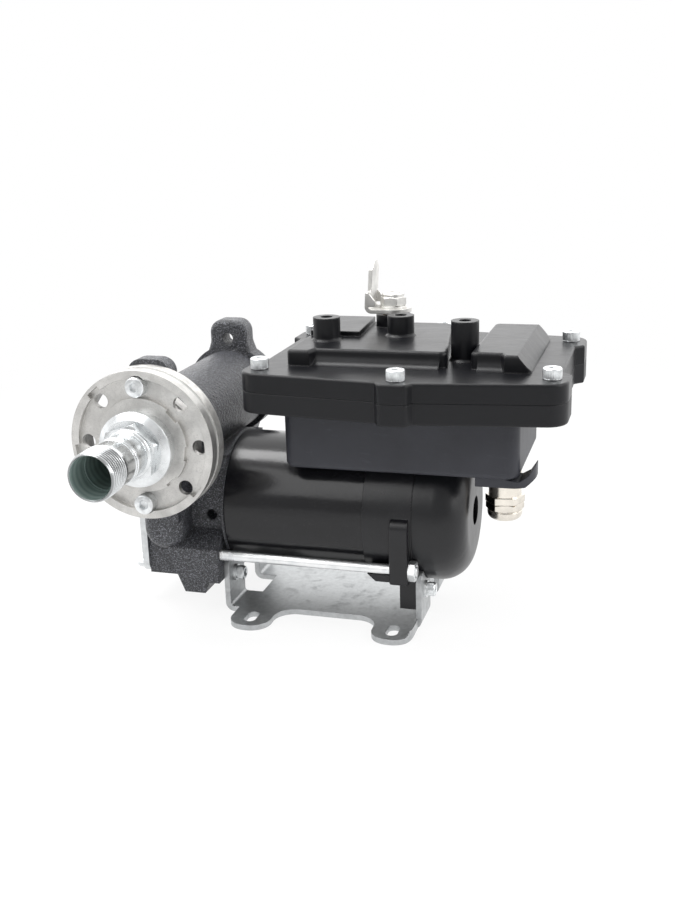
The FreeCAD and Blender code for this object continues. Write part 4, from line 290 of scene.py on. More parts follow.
class Finish(Nodes):
    """A material, written in millimetres of the pump's own frame."""

    def __init__(self, name):
        self.material = bpy.data.materials.new(name)
        self.material.use_nodes = True
        super().__init__(self.material.node_tree)
        self.spot = self.add("ShaderNodeTexCoord", output="Object")

    def where(self, stretch=(1, 1, 1)):
        """The place on the pump in millimetres, stretched along the axes."""
        scale = tuple(share / MM for share in stretch)
        return self.add("ShaderNodeVectorMath", {"operation": "MULTIPLY"}, {0: self.spot, 1: scale})

    def parts(self):
        """The place's three coordinates in millimetres."""
        return self.wires(self.node("ShaderNodeSeparateXYZ", None, {0: self.where()}), "X", "Y", "Z")

    def distance(self, u, v, centre=(0, 0)):
        """How far a place is from a line, by its two coordinates across that line."""
        return self.maths("SQRT", (u - centre[0]) ** 2 + (v - centre[1]) ** 2)

    def noise(self, size, detail=2, roughness=0.5, stretch=(1, 1, 1)):
        """Soft noise from 0 to 1 whose blobs are about `size` millimetres wide."""
        return self.add("ShaderNodeTexNoise", {"noise_dimensions": "3D"}, {
            "Vector": self.where(stretch), "Scale": 1.0 / size, "Detail": detail, "Roughness": roughness})

    def grains(self, size):
        """Round cells about `size` millimetres apart."""
        return self.add(
            "ShaderNodeTexVoronoi", {"feature": "SMOOTH_F1"},
            {"Vector": self.where(), "Scale": 1.0 / size})

    def rounded(self, millimetres):
        """A normal that makes the edges of the shape look rounded."""
        return self.add("ShaderNodeBevel", {"samples": 4}, {"Radius": millimetres * MM})

    def bump(self, height, millimetres, normal=None):
        inputs = {"Height": height, "Distance": millimetres * MM, "Strength": 1.0}
        if normal is not None:
            inputs["Normal"] = normal
        return self.add("ShaderNodeBump", None, inputs)

    def principled(self, **values):
        """The shader. A keyword is a socket's name, with underscores for its spaces."""
        inputs = {name.replace("_", " "): value for name, value in values.items()}
        return self.add("ShaderNodeBsdfPrincipled", None, inputs)

    def show(self, shader):
        self.node("ShaderNodeOutputMaterial", None, {"Surface": shader})
        return self.material

    def surface(self, **values):
        return self.show(self.principled(**values))


def shade(colour, factor):
    return tuple(min(1.0, part * factor) for part in colour)


def cast_finish(name, colour, grain, edge):
    """Coarse coating over a sand casting: pebbled and pitted, with bright specks painted in as glints."""
    f = Finish(name)
    fine = f.noise(grain, detail=3, roughness=0.65)
    lumps = f.noise(grain * 6)
    pits = f.grains(grain * 1.2)
    cloud = f.noise(grain * 14)
    painted_glints = f.between(f.noise(grain * 0.5, detail=1), 0.55, 0.66)
    base = f.mix(f.between(fine, 0.3, 0.7), shade(colour, 0.25), shade(colour, 1.9))
    base = f.mix(cloud * 0.5, base, shade(colour, 1.3))
    # bright specks painted into the colour stand in for glints of light on the coating
    base = f.mix(painted_glints * 0.7, base, shade(colour, 7.0))
    height = fine * 0.8 + lumps * 0.7 + pits * 0.5
    return f.surface(
        Base_Color=base, Roughness=f.ramp(fine, (0.3, 0.26), (0.75, 0.56)),
        Normal=f.bump(height, 1.3, f.rounded(edge)))


def paint_finish(name, colour, edge, gloss):
    """Sprayed gloss paint with orange peel, long sags and dust."""
    f = Finish(name)
    peel = f.noise(3.0, detail=1)
    sag = f.noise(22, stretch=(0.35, 1, 1))
    haze = f.noise(26, detail=3)
    dust = f.between(f.noise(0.8, detail=0), 0.72, 0.80)
    base = f.mix(haze, shade(colour, 0.7), shade(colour, 1.8))
    return f.surface(
        Base_Color=f.mix(dust * 0.25, base, DUST), Roughness=haze * 0.16 + gloss,
        Specular_IOR_Level=0.45, Normal=f.bump(peel * 0.12 + sag, 0.35, f.rounded(edge)))


def plastic_finish(name, colour, edge, gloss, specular=0.5, rim=None):
    """Moulded plastic: fine grain, flow haze, shallow sink marks and handling marks. Over the
    height `rim` it is darker."""
    f = Finish(name)
    grain = f.noise(0.6, detail=1)
    flow = f.noise(34, detail=3, roughness=0.55, stretch=(1, 0.6, 1))
    sink = f.noise(16)
    scuff = f.between(f.noise(3.2, detail=4, roughness=0.7, stretch=(0.25, 1, 1)), 0.60, 0.74)
    base = f.mix(flow, shade(colour, 0.7), shade(colour, 1.5))
    base = f.mix(scuff * 0.22, base, shade(colour, 3.0))
    if rim is not None:
        height = f.parts()[2]
        base = f.mix(height > rim, base, shade(colour, 0.25))
    return f.surface(
        Base_Color=base, Roughness=flow * 0.12 + grain * 0.06 + scuff * 0.08 + gloss,
        Specular_IOR_Level=specular, Normal=f.bump(grain * 0.06 + sink, 0.3, f.rounded(edge)))


def metal_finish(name, colour, edge, gloss, mottle=6.0, brush=(1, 1, 1), depth=0.02, contrast=1.0):
    """Plated or rolled metal: crystalline mottle, fine rubbing lines and a few dull spots. The
    lines are long along the axes with the smaller numbers in `brush`."""
    f = Finish(name)
    cloud = f.noise(mottle, detail=3, roughness=0.6)
    lines = f.noise(1.2, stretch=brush)
    stain = f.between(f.noise(mottle * 2.2, detail=3, roughness=0.7), 0.52, 0.72)
    base = f.mix(f.between(cloud, 0.3, 0.7), shade(colour, 1 - 0.24 * contrast), shade(colour, 1.14))
    base = f.mix(stain * 0.4 * contrast, base, shade(colour, 0.60))
    return f.surface(
        Base_Color=base, Metallic=1.0, Roughness=cloud * 0.14 + stain * 0.12 + lines * 0.06 + gloss,
        Normal=f.bump(lines * 0.6 + cloud * 0.3, depth, f.rounded(edge)))


def turned_finish(name, colour, centre, edge):
    """Faced on a lathe: fine rings about the port axis over grey cast metal."""
    f = Finish(name)
    x, _, z = f.parts()
    rings = f.maths("SINE", f.distance(x, z, centre) * 9.0 + f.noise(9, detail=1) * 2.0)
    coarse = f.noise(0.9)
    cloud = f.noise(12, detail=3)
    base = f.mix(f.between(cloud, 0.3, 0.7), shade(colour, 0.76), shade(colour, 1.08))
    base = f.mix(f.between(coarse, 0.5, 0.8) * 0.4, base, shade(colour, 0.55))
    return f.surface(
        Base_Color=base, Metallic=1.0, Roughness=cloud * 0.16 + coarse * 0.16 + 0.30,
        Normal=f.bump(rings * 0.2 + coarse * 1.2, 0.07, f.rounded(edge)))


def nipple_finish(name, colour, centre, bore, crest, thread_end, edge):
    """Bright turned zinc outside, thread grooves darkened with painted shade, and a duller greenish bore
    with tool rings.
    """
    f = Finish(name)
    x, y, z = f.parts()
    radius = f.distance(x, z, centre)
    inside = radius < bore + 0.12
    groove = f.between(crest - radius, 0.15, 0.85) * (y < thread_end)
    cloud = f.noise(9, detail=3)
    streak = f.noise(1.0, stretch=(0.3, 3, 0.3))
    rings = f.maths("SINE", y * 1.1 + f.noise(14, detail=1) * 3.0)
    base = f.mix(f.between(cloud, 0.3, 0.7), shade(colour, 0.82), shade(colour, 1.08))
    # the thread grooves are darkened here: painted shade in the valleys
    base = f.mix(groove, base, shade(colour, 0.40))
    dull = f.mix(rings * 0.3 + 0.4, BORE_DARK, BORE_PALE)
    return f.surface(
        Base_Color=f.mix(inside, base, dull), Metallic=1.0 - inside * 0.9,
        Roughness=streak * 0.12 + cloud * 0.10 + inside * 0.25 + 0.10,
        Normal=f.bump(streak * 0.5 + rings * 0.2, 0.05, f.rounded(edge)))


def rubber_finish(name, colour):
    """Dull rubber or pressed fibre: fine grain under a pale bloom."""
    f = Finish(name)
    grain = f.noise(0.6)
    bloom = f.noise(14, detail=3)
    return f.surface(
        Base_Color=f.mix(bloom, shade(colour, 0.7), shade(colour, 1.9)),
        Roughness=grain * 0.15 + 0.62, Normal=f.bump(grain, 0.05))


def board_finish(name, colour):
    """Lacquered circuit board with a pattern of copper lines and tinned pads."""
    f = Finish(name)
    x = f.parts()[0]
    lines = f.between(f.maths("SINE", x * 1.7 + f.noise(18, detail=0) * 12), 0.80, 0.9)
    pads = f.ramp(f.grains(5.0), (0.12, 1.0), (0.17, 0.0))
    base = f.mix(lines * 0.6, colour, shade(colour, 2.0))
    return f.surface(
        Base_Color=f.mix(pads, base, PAD_TIN), Roughness=0.32 + f.noise(4) * 0.1,
        Normal=f.bump(lines, 0.03))


def winding_finish(name, axis_z):
    """Enamelled copper wire lying in bundles round the motor axis, which is `axis_z` high. Its colour is
    painted shade between the wires and a painted highlight on their crests.
    """
    f = Finish(name)
    x, y, z = f.parts()
    strands = f.maths("SINE", f.maths("ARCTAN2", y, z - axis_z) * 90.0 + x * 3.0)
    return f.surface(
        # colour from painted shade between the wires to a painted highlight on each crest
        Base_Color=f.mix(f.maths("ABSOLUTE", strands), WIRE_PAINTED_SHADE, WIRE_PAINTED_HIGHLIGHT), Metallic=0.8,
        Roughness=0.3 + f.noise(3) * 0.2, Normal=f.bump(strands, 0.3))


def dress(material, *names):
    """Gives CAD nodes a finish."""
    for name in names:
        item = NODES[name]
        if not item.material_slots:
            item.data.materials.append(material)
        for slot in item.material_slots:
            slot.material = material


def centre(node):
    """The middle of a CAD node's box, in millimetres."""
    low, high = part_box(node)
    return [(a + b) / 2 / MM for a, b in zip(low, high)]


def ends(node, axis):
    """Where a CAD node starts and stops along an axis, in millimetres."""
    return [corner["xyz".index(axis)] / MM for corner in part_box(node)]


def value_at(thing, angle):
    return thing(angle) if callable(thing) else thing


def along_axis(axis, spot, a, u, v):
    """The point, in metres, that is `a` along an axis through `spot` and u and v across it."""
    if axis == "x":
        point = (spot[0] + a, spot[1] + u, spot[2] + v)
    elif axis == "y":
        point = (spot[0] + u, spot[1] + a, spot[2] + v)
    else:
        point = (spot[0] + u, spot[1] + v, spot[2] + a)
    return Vector(point) * MM


def finish_mesh(name, mesh):
    """An object with smooth faces and crisp folds, from a bmesh."""
    bmesh.ops.recalc_face_normals(mesh, faces=mesh.faces)
    data = bpy.data.meshes.new(name)
    mesh.to_mesh(data)
    mesh.free()
    for face in data.polygons:
        face.use_smooth = True
    data.set_sharp_from_angle(angle=SHARP)
    item = bpy.data.objects.new(name, data)
    bpy.context.scene.collection.objects.link(item)
    return item


def stack(name, rings, axis, spot, steps, closed=False):
    """Rings of points about an axis, joined into a skin. A ring is a place along the axis and a
    radius, in millimetres; either may be a function of the angle. A radius of 0 is one point."""
    mesh = bmesh.new()
    rows = []
    for along, radius in rings:
        if radius == 0:
            rows.append([mesh.verts.new(along_axis(axis, spot, value_at(along, 0), 0, 0))])
            continue
        row = []
        for i in range(steps):
            angle = math.tau * i / steps
            reach = value_at(radius, angle)
            place = value_at(along, angle)
            row.append(mesh.verts.new(along_axis(
                axis, spot, place, reach * math.cos(angle), reach * math.sin(angle))))
        rows.append(row)
    pairs = list(zip(rows, rows[1:]))
    if closed:
        pairs.append((rows[-1], rows[0]))
    for low, high in pairs:
        for i in range(steps):
            j = (i + 1) % steps
            if len(low) == 1:
                mesh.faces.new((low[0], high[i], high[j]))
            elif len(high) == 1:
                mesh.faces.new((low[i], low[j], high[0]))
            else:
                mesh.faces.new((low[i], low[j], high[j], high[i]))
    return finish_mesh(name, mesh)


def coil(name, node, axis, turns, thick):
    """A wound spring in the place of its CAD ring: one round wire on a helix."""
    steps, sides = 40, 10
    low, high = (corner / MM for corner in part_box(node))
    index = "xyz".index(axis)
    middle = (low + high) / 2
    middle[index] = 0
    wire = thick / 2
    reach = (high[index - 1] - low[index - 1]) / 2 - wire
    start, stop = low[index] + wire, high[index] - wire
    mesh = bmesh.new()
    rows = []
    for i in range(turns * steps + 1):
        angle = math.tau * i / steps
        height = start + (stop - start) * i / (turns * steps)
        row = []
        for k in range(sides):
            side = math.tau * k / sides
            out = reach + wire * math.cos(side)
            place = height + wire * math.sin(side)
            row.append(mesh.verts.new(along_axis(
                axis, middle, place, out * math.cos(angle), out * math.sin(angle))))
        rows.append(row)
    for first, second in zip(rows, rows[1:]):
        for k in range(sides):
            j = (k + 1) % sides
            mesh.faces.new((first[k], first[j], second[j], second[k]))
    mesh.faces.new(rows[0])
    mesh.faces.new(rows[-1])
    return finish_mesh(name, mesh)


def join(name, items):
    """One object from several, with their meshes joined."""
    mesh = bmesh.new()
    for item in items:
        mesh.from_mesh(item.data)
        bpy.data.objects.remove(item)
    return finish_mesh(name, mesh)


def solids(name):
    """The separate solids of a CAD node: for each, its points in millimetres."""
    mesh = bmesh.new()
    mesh.from_mesh(NODES[name].data)
    bmesh.ops.remove_doubles(mesh, verts=mesh.verts, dist=WELD)
    found = set()
    groups = []
    for first in mesh.verts:
        if first in found:
            continue
        found.add(first)
        heap = [first]
        group = []
        while heap:
            vert = heap.pop()
            group.append(vert.co / MM)
            for edge in vert.link_edges:
                other = edge.other_vert(vert)
                if other not in found:
                    found.add(other)
                    heap.append(other)
        groups.append(group)
    mesh.free()
    return groups


def box_of(points):
    """The lowest and highest corners of some points."""
    low = Vector(min(p[i] for p in points) for i in range(3))
    high = Vector(max(p[i] for p in points) for i in range(3))
    return low, high


def stand_in(item, node, material, body):
    """Puts a detailed piece in the place of a CAD node."""
    item.data.materials.clear()
    item.data.materials.append(material)
    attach(item, body)
    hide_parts(node)


def six_sided(across, turn=0.0):
    """Radius of a hexagon at an angle."""
    def radius(angle):
        part = (angle + turn + math.pi / 6) % (math.pi / 3) - math.pi / 6
        return across / 2 / math.cos(part)
    return radius


def cut_corners(height, slope, ring, side):
    """Height of a hexagon's edge where a cone cuts its corners outside the radius `ring`."""
    return lambda angle: height - slope * max(0.0, side(angle) - ring)


def thread(start, stop, pitch, crest, depth, rings_per_turn):
    """Rings of a screw thread between two places on its axis. Its flanks are steeper than a
    plain zigzag's, which leaves a flat at the root."""
    flank = 1.35
    count = int(abs(stop - start) / pitch * rings_per_turn)
    rings = []
    for i in range(count + 1):
        place = start + (stop - start) * i / count

        def radius(angle, place=place):
            turn = (place / pitch + angle / math.tau) % 1.0
            return crest - depth * min(1.0, abs(turn * 2 - 1) * flank)

        rings.append((place, radius))
    return rings


def hexagon_nut(name, axis, spot, low, high, across, bore, turn, collar=None):
    """A nut with chamfered corners; a collar of radius and height stands on top of a lock nut."""
    side = six_sided(across, turn)
    cone = across / 2 * 0.99
    shoulder = high if collar is None else high - collar[1]
    rings = [
        (low, bore), (low, cone), (cut_corners(low, -0.5, cone, side), side),
        (cut_corners(shoulder, 0.55, cone, side), side), (shoulder, cone),
    ]
    if collar is None:
        rings += [(high, bore + 0.5), (high - 0.5, bore)]
    else:
        radius = collar[0]
        rings += [
            (shoulder, radius), (high - 0.8, radius), (high, radius - 0.9), (high, bore + 0.3),
            (high - 0.3, bore),
        ]
    return stack(name, rings, axis, spot, 144, closed=True)


def socket_screw(name, points, axis, sign, shank, socket, knurls):
    """A cap screw made where its CAD solid is: knurled head, rounded rim and hexagon socket."""
    low, high = box_of(points)
    middle = (low + high) / 2
    index = "xyz".index(axis)
    u, v = (i for i in range(3) if i != index)
    reach = max((high[i] - low[i]) / 2 for i in (u, v))
    head = [p[index] for p in points if math.hypot(p[u] - middle[u], p[v] - middle[v]) > reach * 0.9]
    seat, top = (min(head), max(head)) if sign > 0 else (max(head), min(head))
    tip = low[index] if sign > 0 else high[index]
    spot = list(middle)
    spot[index] = 0
    hexagon = six_sided(socket)
    knurl_depth, bevel, tip_bevel = 0.34, 0.5, 0.6
    socket_deep, drill_deep = 3.4, 4.2

    def ridged(angle):
        return reach - knurl_depth * (0.5 + 0.5 * math.cos(angle * knurls))

    def down(depth, radius):
        return (top - sign * depth, radius)

    def up(height, radius):
        return (seat + sign * height, radius)

    rings = [
        down(drill_deep, 0), down(socket_deep, hexagon), down(bevel, hexagon),
        down(0, lambda angle: hexagon(angle) + bevel),
        down(0, reach * 0.86), down(0.25, reach * 0.93), down(0.8, reach * 0.985), down(1.0, ridged),
        up(0.9, ridged), up(0.7, reach * 0.985), up(0.1, reach * 0.97), up(0, reach * 0.93), up(0, shank),
        (tip + sign * tip_bevel, shank), (tip, shank - tip_bevel), (tip, 0),
    ]
    return stack(name, rings, axis, spot, knurls * 4)


class PUMP_OT_castings(bpy.types.Operator):
    """Coats the pump block and finishes its cover"""

    bl_idname = "pump.castings"
    bl_label = "Pump block"

    def execute(self, context):
        colours, sizes = chosen(context.scene)
        coat = cast_finish("coated_casting", colours.casting, sizes.cast_grain, sizes.cast_edge)
        dress(coat, "pump_body")
        cover = metal_finish(
            "plated_cover", shade(colours.zinc, 0.8), sizes.edge, gloss=0.34, mottle=5.0, contrast=0.5)
        dress(cover, "pump_cover")
        return {"FINISHED"}


class PUMP_OT_motor(bpy.types.Operator):
    """Paints the motor tube, bell and end cap"""

    bl_idname = "pump.motor"
    bl_label = "Motor"

    def execute(self, context):
        colours, sizes = chosen(context.scene)
        tube = paint_finish("motor_paint", colours.paint, sizes.edge, gloss=0.12)
        dress(tube, "motor_tube", "motor_front_plate")
        bell = paint_finish("bell_paint", shade(colours.paint, 1.3), sizes.edge * 1.6, gloss=0.22)
        dress(bell, "end_bell")
        cap = plastic_finish(
            "cap_plastic", shade(colours.plastic, 0.8), sizes.edge, gloss=0.22, specular=0.45)
        dress(cap, "end_cap")
        return {"FINISHED"}


class PUMP_OT_inlet(bpy.types.Operator):
    """Makes the inlet flange's finishes and the threaded nipple"""

    bl_idname = "pump.inlet"
    bl_label = "Inlet flange and nipple"

    def execute(self, context):
        colours, sizes = chosen(context.scene)
        axis_x, _, axis_z = centre("inlet_flange")
        faced = turned_finish("faced_aluminium", colours.aluminium, (axis_x, axis_z), sizes.edge)
        dress(faced, "inlet_flange")
        ring = metal_finish("cast_aluminium", colours.aluminium, sizes.edge, gloss=0.44, mottle=5.0)
        dress(ring, "inlet_backing_ring")
        collar = metal_finish(
            "bright_zinc", colours.zinc, sizes.edge, gloss=0.18, mottle=14.0, brush=(1, 6, 1))
        dress(collar, "nipple_collar")
        dress(rubber_finish("gasket_fibre", colours.fibre), "inlet_gasket")
        dress(rubber_finish("seal_ring_rubber", colours.rubber), "nipple_seal")
        bore, crest, thread_long = 14.4, 16.62, 18.0
        mouth, back = ends("threaded_nipple", "y")
        thread_end = mouth + thread_long
        zinc = nipple_finish(
            "nipple_zinc", colours.zinc, (axis_x, axis_z), bore, crest, thread_end, sizes.edge * 0.3)
        rings = self.outline(mouth, back, thread_end, bore, crest, sizes.pipe_pitch)
        nipple = stack("nipple_turned", rings, "y", (axis_x, 0, axis_z), 144, closed=True)
        stand_in(nipple, "threaded_nipple", zinc, "housing")
        return {"FINISHED"}

    def outline(self, mouth, back, thread_end, bore, crest, pitch):
        """The nipple's rings: from its back end over hexagon, neck and thread, and in at the mouth."""
        neck, neck_long, spigot = 16.0, 34.0, 17.0
        across, hex_thick, cone, slope = 36.0, 7.0, 18.4, 0.45
        throat, throat_start, throat_end, throat_slope = 0.35, 20.0, 52.0, 0.4
        hex_front = thread_end + neck_long
        hex_back = hex_front + hex_thick
        side = six_sided(across, math.radians(12))
        rings = [
            (back, bore), (back, spigot), (hex_back, spigot), (hex_back, cone - 0.6),
            (cut_corners(hex_back, slope, cone, side), side),
            (cut_corners(hex_front, -slope, cone, side), side), (hex_front, cone - 0.4),
        ]
        # Distance in front of the hexagon, and step from the neck's radius
        for ahead, step in (
            (0.0, 1.0), (1.0, 0.4), (1.6, -0.5), (14.0, -0.5), (14.4, 0.0),
            (15.4, 0.0), (15.8, -0.6), (17.2, -0.6), (17.6, 0.0), (18.4, 0.0),
            (18.8, -0.5), (28.0, -0.5), (31.0, -0.1), (33.4, -0.6),
        ):
            rings.append((hex_front - ahead, neck + step))
        rings += thread(thread_end, mouth + 1.6, pitch, crest, depth=1.2, rings_per_turn=8)
        rings += [
            (mouth + 0.5, crest - 1.0), (mouth, crest - 1.3), (mouth, bore + 0.5), (mouth + 0.6, bore),
            (mouth + throat_start, bore), (mouth + throat_start + throat_slope, bore - throat),
            (mouth + throat_end, bore - throat), (mouth + throat_end + throat_slope, bore),
        ]
        return rings


class PUMP_OT_bracket(bpy.types.Operator):
    """Finishes the folded bracket and makes the threaded tie rods and their nuts"""

    bl_idname = "pump.bracket"
    bl_label = "Bracket and tie rods"

    def execute(self, context):
        colours, sizes = chosen(context.scene)
        sheet = metal_finish(
            "sheet_zinc", shade(colours.zinc, 0.57), sizes.edge,
            gloss=0.36, mottle=4.0, depth=0.03, contrast=0.5)
        dress(sheet, "base_bracket")
        bright = metal_finish(
            "rod_zinc", shade(colours.zinc, 1.08), 0.3,
            gloss=0.30, mottle=8.0, brush=(0.1, 1, 1), depth=0.01, contrast=0.4)
        dress(bright, "bracket_washers")
        rods = [
            self.rod(spot, left, right, sizes.rod_pitch)
            for spot, left, right in self.places("tie_rods")
        ]
        nuts = [
            hexagon_nut("nut", "x", spot, left, right, across=13.0, bore=4.1, turn=math.radians(-31.2))
            for spot, left, right in self.places("tie_rod_nuts")
        ]
        stand_in(join("tie_rods_threaded", rods), "tie_rods", bright, "housing")
        stand_in(join("tie_rod_nuts_cut", nuts), "tie_rod_nuts", bright, "housing")
        return {"FINISHED"}

    def places(self, node):
        """For each solid of a node that lies along x, a point of its axis and its two ends."""
        for points in solids(node):
            low, high = box_of(points)
            yield (0, (low.y + high.y) / 2, (low.z + high.z) / 2), low.x, high.x

    def rod(self, spot, left, right, pitch):
        """A stud with a long thread at its left end and a short one at its right end."""
        crest, shank, depth, bevel, run_out = 4.0, 3.55, 0.55, 0.8, 1.0
        left_end, right_end = left + 27.0, right - 11.0
        rings = [(left, 0), (left, crest - bevel)]
        rings += thread(left + 0.5, left_end, pitch, crest, depth, rings_per_turn=6)
        rings += [(left_end + run_out, shank), (right_end - run_out, shank)]
        rings += thread(right_end, right - bevel, pitch, crest, depth, rings_per_turn=6)
        rings += [(right, crest - bevel), (right, 0)]
        return stack("rod", rings, "x", spot, 36)


class PUMP_OT_screws(bpy.types.Operator):
    """Makes the socket screws where their solids are"""

    bl_idname = "pump.screws"
    bl_label = "Socket screws"

    def execute(self, context):
        colours, sizes = chosen(context.scene)
        material = metal_finish("screw_zinc", colours.zinc, 0.2, gloss=0.22, mottle=4.0)
        for node, axis, sign, shank, socket in (
            ("lid_screws", "z", 1, 3.0, 5.0),
            ("bracket_screws", "x", 1, 3.0, 5.0),
            ("cover_screws", "x", -1, 3.0, 5.0),
            ("inlet_screws", "y", -1, 4.0, 6.0),
        ):
            made = [
                socket_screw("screw", points, axis, sign, shank, socket, sizes.knurls)
                for points in solids(node)
            ]
            stand_in(join(node + "_knurled", made), node, material, "housing")
        dress(material, "box_mount_screws")
        return {"FINISHED"}


class PUMP_OT_switch_box(bpy.types.Operator):
    """Finishes the switch box, its lid and what lies in it"""

    bl_idname = "pump.switch_box"
    bl_label = "Switch box"

    def execute(self, context):
        colours, sizes = chosen(context.scene)
        lid = plastic_finish(
            "lid_plastic", shade(colours.plastic, 0.7), sizes.box_edge, gloss=0.22, specular=0.26)
        dress(lid, "box_lid")
        flange_deep = 14.5
        rim = ends("lid_gasket", "z")[0] - flange_deep
        tub = plastic_finish(
            "tub_plastic", shade(colours.plastic, 3.4), sizes.box_edge * 0.8,
            gloss=0.34, specular=0.3, rim=rim)
        dress(tub, "box_tub")
        dress(rubber_finish("joint_rubber", JOINT_GREY), "lid_gasket")
        dress(rubber_finish("pad_rubber", colours.rubber), "saddle_pad")
        dress(board_finish("board_lacquer", BOARD_GREEN), "control_board")
        dress(plastic_finish("block_plastic", BLOCK_GREEN, 0.4, gloss=0.4), "terminal_block")
        switch = plastic_finish("switch_plastic", SWITCH_BLACK, 0.3, gloss=0.4)
        dress(switch, "micro_switch", "switch_cam")
        dress(plastic_finish("plunger_plastic", PLUNGER_RED, 0.2, gloss=0.4), "switch_plunger")
        dress(metal_finish("bush_bronze", BRONZE, 0.3, gloss=0.4, mottle=2.0), "shaft_bush")
        return {"FINISHED"}


class PUMP_OT_lever(bpy.types.Operator):
    """Polishes the switch lever and cuts its lock nut"""

    bl_idname = "pump.lever"
    bl_label = "Switch lever"

    def execute(self, context):
        colours, sizes = chosen(context.scene)
        steel = metal_finish(
            "lever_steel", shade(colours.stainless, 0.90), sizes.edge * 1.2,
            gloss=0.28, mottle=12.0, brush=(1, 1, 0.2), depth=0.01, contrast=0.8)
        dress(steel, "lever", "lever_washer", "switch_shaft")
        x, y, _ = centre("lever_nut")
        foot, top = ends("lever_nut", "z")
        nut = hexagon_nut(
            "lever_nut_cut", "z", (x, y, 0), foot, top,
            across=17.0, bore=5.1, turn=math.radians(30), collar=(8.2, 2.9))
        stand_in(nut, "lever_nut", steel, "lever_set")
        return {"FINISHED"}


class PUMP_OT_gland(bpy.types.Operator):
    """Plates the cable gland and cuts its compression nut"""

    bl_idname = "pump.gland"
    bl_label = "Cable gland"

    def execute(self, context):
        colours, sizes = chosen(context.scene)
        plate = metal_finish(
            "gland_nickel", colours.nickel, sizes.edge,
            gloss=0.14, mottle=18.0, brush=(1, 1, 3), depth=0.01)
        dress(plate, "gland_body", "gland_locknut")
        dress(rubber_finish("gland_rubber", colours.rubber), "gland_seal")
        stand_in(self.dome(), "gland_dome_nut", plate, "housing")
        return {"FINISHED"}

    def dome(self):
        """The compression nut: a hexagon above a groove and a domed end."""
        x, y, _ = centre("gland_dome_nut")
        foot, top = ends("gland_dome_nut", "z")
        outer, mouth, bore, bend, seat, groove = 12.35, 6.5, 9.35, 5.0, 3.0, 0.6
        across, cone, slope = 23.6, 12.1, 0.5
        hex_foot, hex_top = foot + 7.6, top - 0.2
        side = six_sided(across, math.radians(22))
        rings = [(foot, mouth)]
        for step in range(7):
            angle = math.radians(15 * step)
            rings.append((foot + bend * (1 - math.cos(angle)), outer - bend + bend * math.sin(angle)))
        rings += [
            (foot + 6.6, outer), (foot + 6.9, outer - groove), (foot + 7.5, outer - groove),
            (hex_foot, cone - 0.3), (cut_corners(hex_foot, -slope, cone, side), side),
            (cut_corners(hex_top, slope, cone, side), side), (hex_top, cone - 0.3), (top, cone - 0.9),
            (top, bore), (foot + seat, bore), (foot + seat, mouth),
        ]
        return stack("gland_dome_cut", rings, "z", (x, y, 0), 144, closed=True)


class PUMP_OT_inner_parts(bpy.types.Operator):
    """Finishes the parts inside the pump and the motor, and winds their springs"""

    bl_idname = "pump.inner_parts"
    bl_label = "Inner parts"

    def execute(self, context):
        colours, _ = chosen(context.scene)
        ground = metal_finish(
            "ground_steel", GROUND_STEEL, 0.2, gloss=0.14, mottle=20.0, brush=(0.2, 1, 1), depth=0.005)
        dress(ground, "drive_shaft", "bearing_outer_rings", "bearing_inner_rings", "bearing_balls")
        core = metal_finish(
            "core_steel", CORE_STEEL, 0.2, gloss=0.38, mottle=4.0, brush=(4, 0.2, 0.2), depth=0.05)
        dress(core, "armature_core", "pump_rotor")
        self.springs()
        strainer = metal_finish("strainer_steel", colours.stainless, 0.1, gloss=0.4, mottle=1.0)
        dress(strainer, "inlet_strainer")
        copper = metal_finish("commutator_copper", COPPER, 0.1, gloss=0.3, brush=(0.2, 2, 2))
        dress(copper, "commutator")
        dress(winding_finish("enamelled_wire", centre("drive_shaft")[2]), "armature_windings")
        dress(cast_finish("magnet_ferrite", FERRITE, 0.8, 0.4), "field_magnets")
        carbon = plastic_finish("carbon", CARBON_BLACK, 0.2, gloss=0.5)
        dress(carbon, "upper_brush", "lower_brush", "vanes")
        gear = plastic_finish("brush_gear_plastic", BRUSH_GEAR_BROWN, 0.3, gloss=0.45)
        dress(gear, "brush_plate", "brush_holders", "bypass_poppet")
        dress(rubber_finish("seal_rubber", colours.rubber), "pump_seals")
        return {"FINISHED"}

    def springs(self):
        """Three wound springs, each put in the place of its CAD ring with a mesh of its own. Each row's
        end, joint and `travel` in millimetres are not used."""
        wire = metal_finish("spring_steel", SPRING_STEEL, 0.1, gloss=0.3)
        dress(wire, "spring_retainer")
        for node, axis, turns, thick, end, joint, travel in (
            ("bypass_spring", "y", 7, 1.8, 0, "bypass_lift", 5.0),
            ("upper_brush_spring", "z", 6, 1.2, 1, "upper_brush_slide", 4.0),
            ("lower_brush_spring", "z", 6, 1.2, 0, "lower_brush_slide", 4.0),
        ):
            spring = coil(node + "_wound", node, axis, turns, thick)
            stand_in(spring, node, wire, "housing")
            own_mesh(spring)


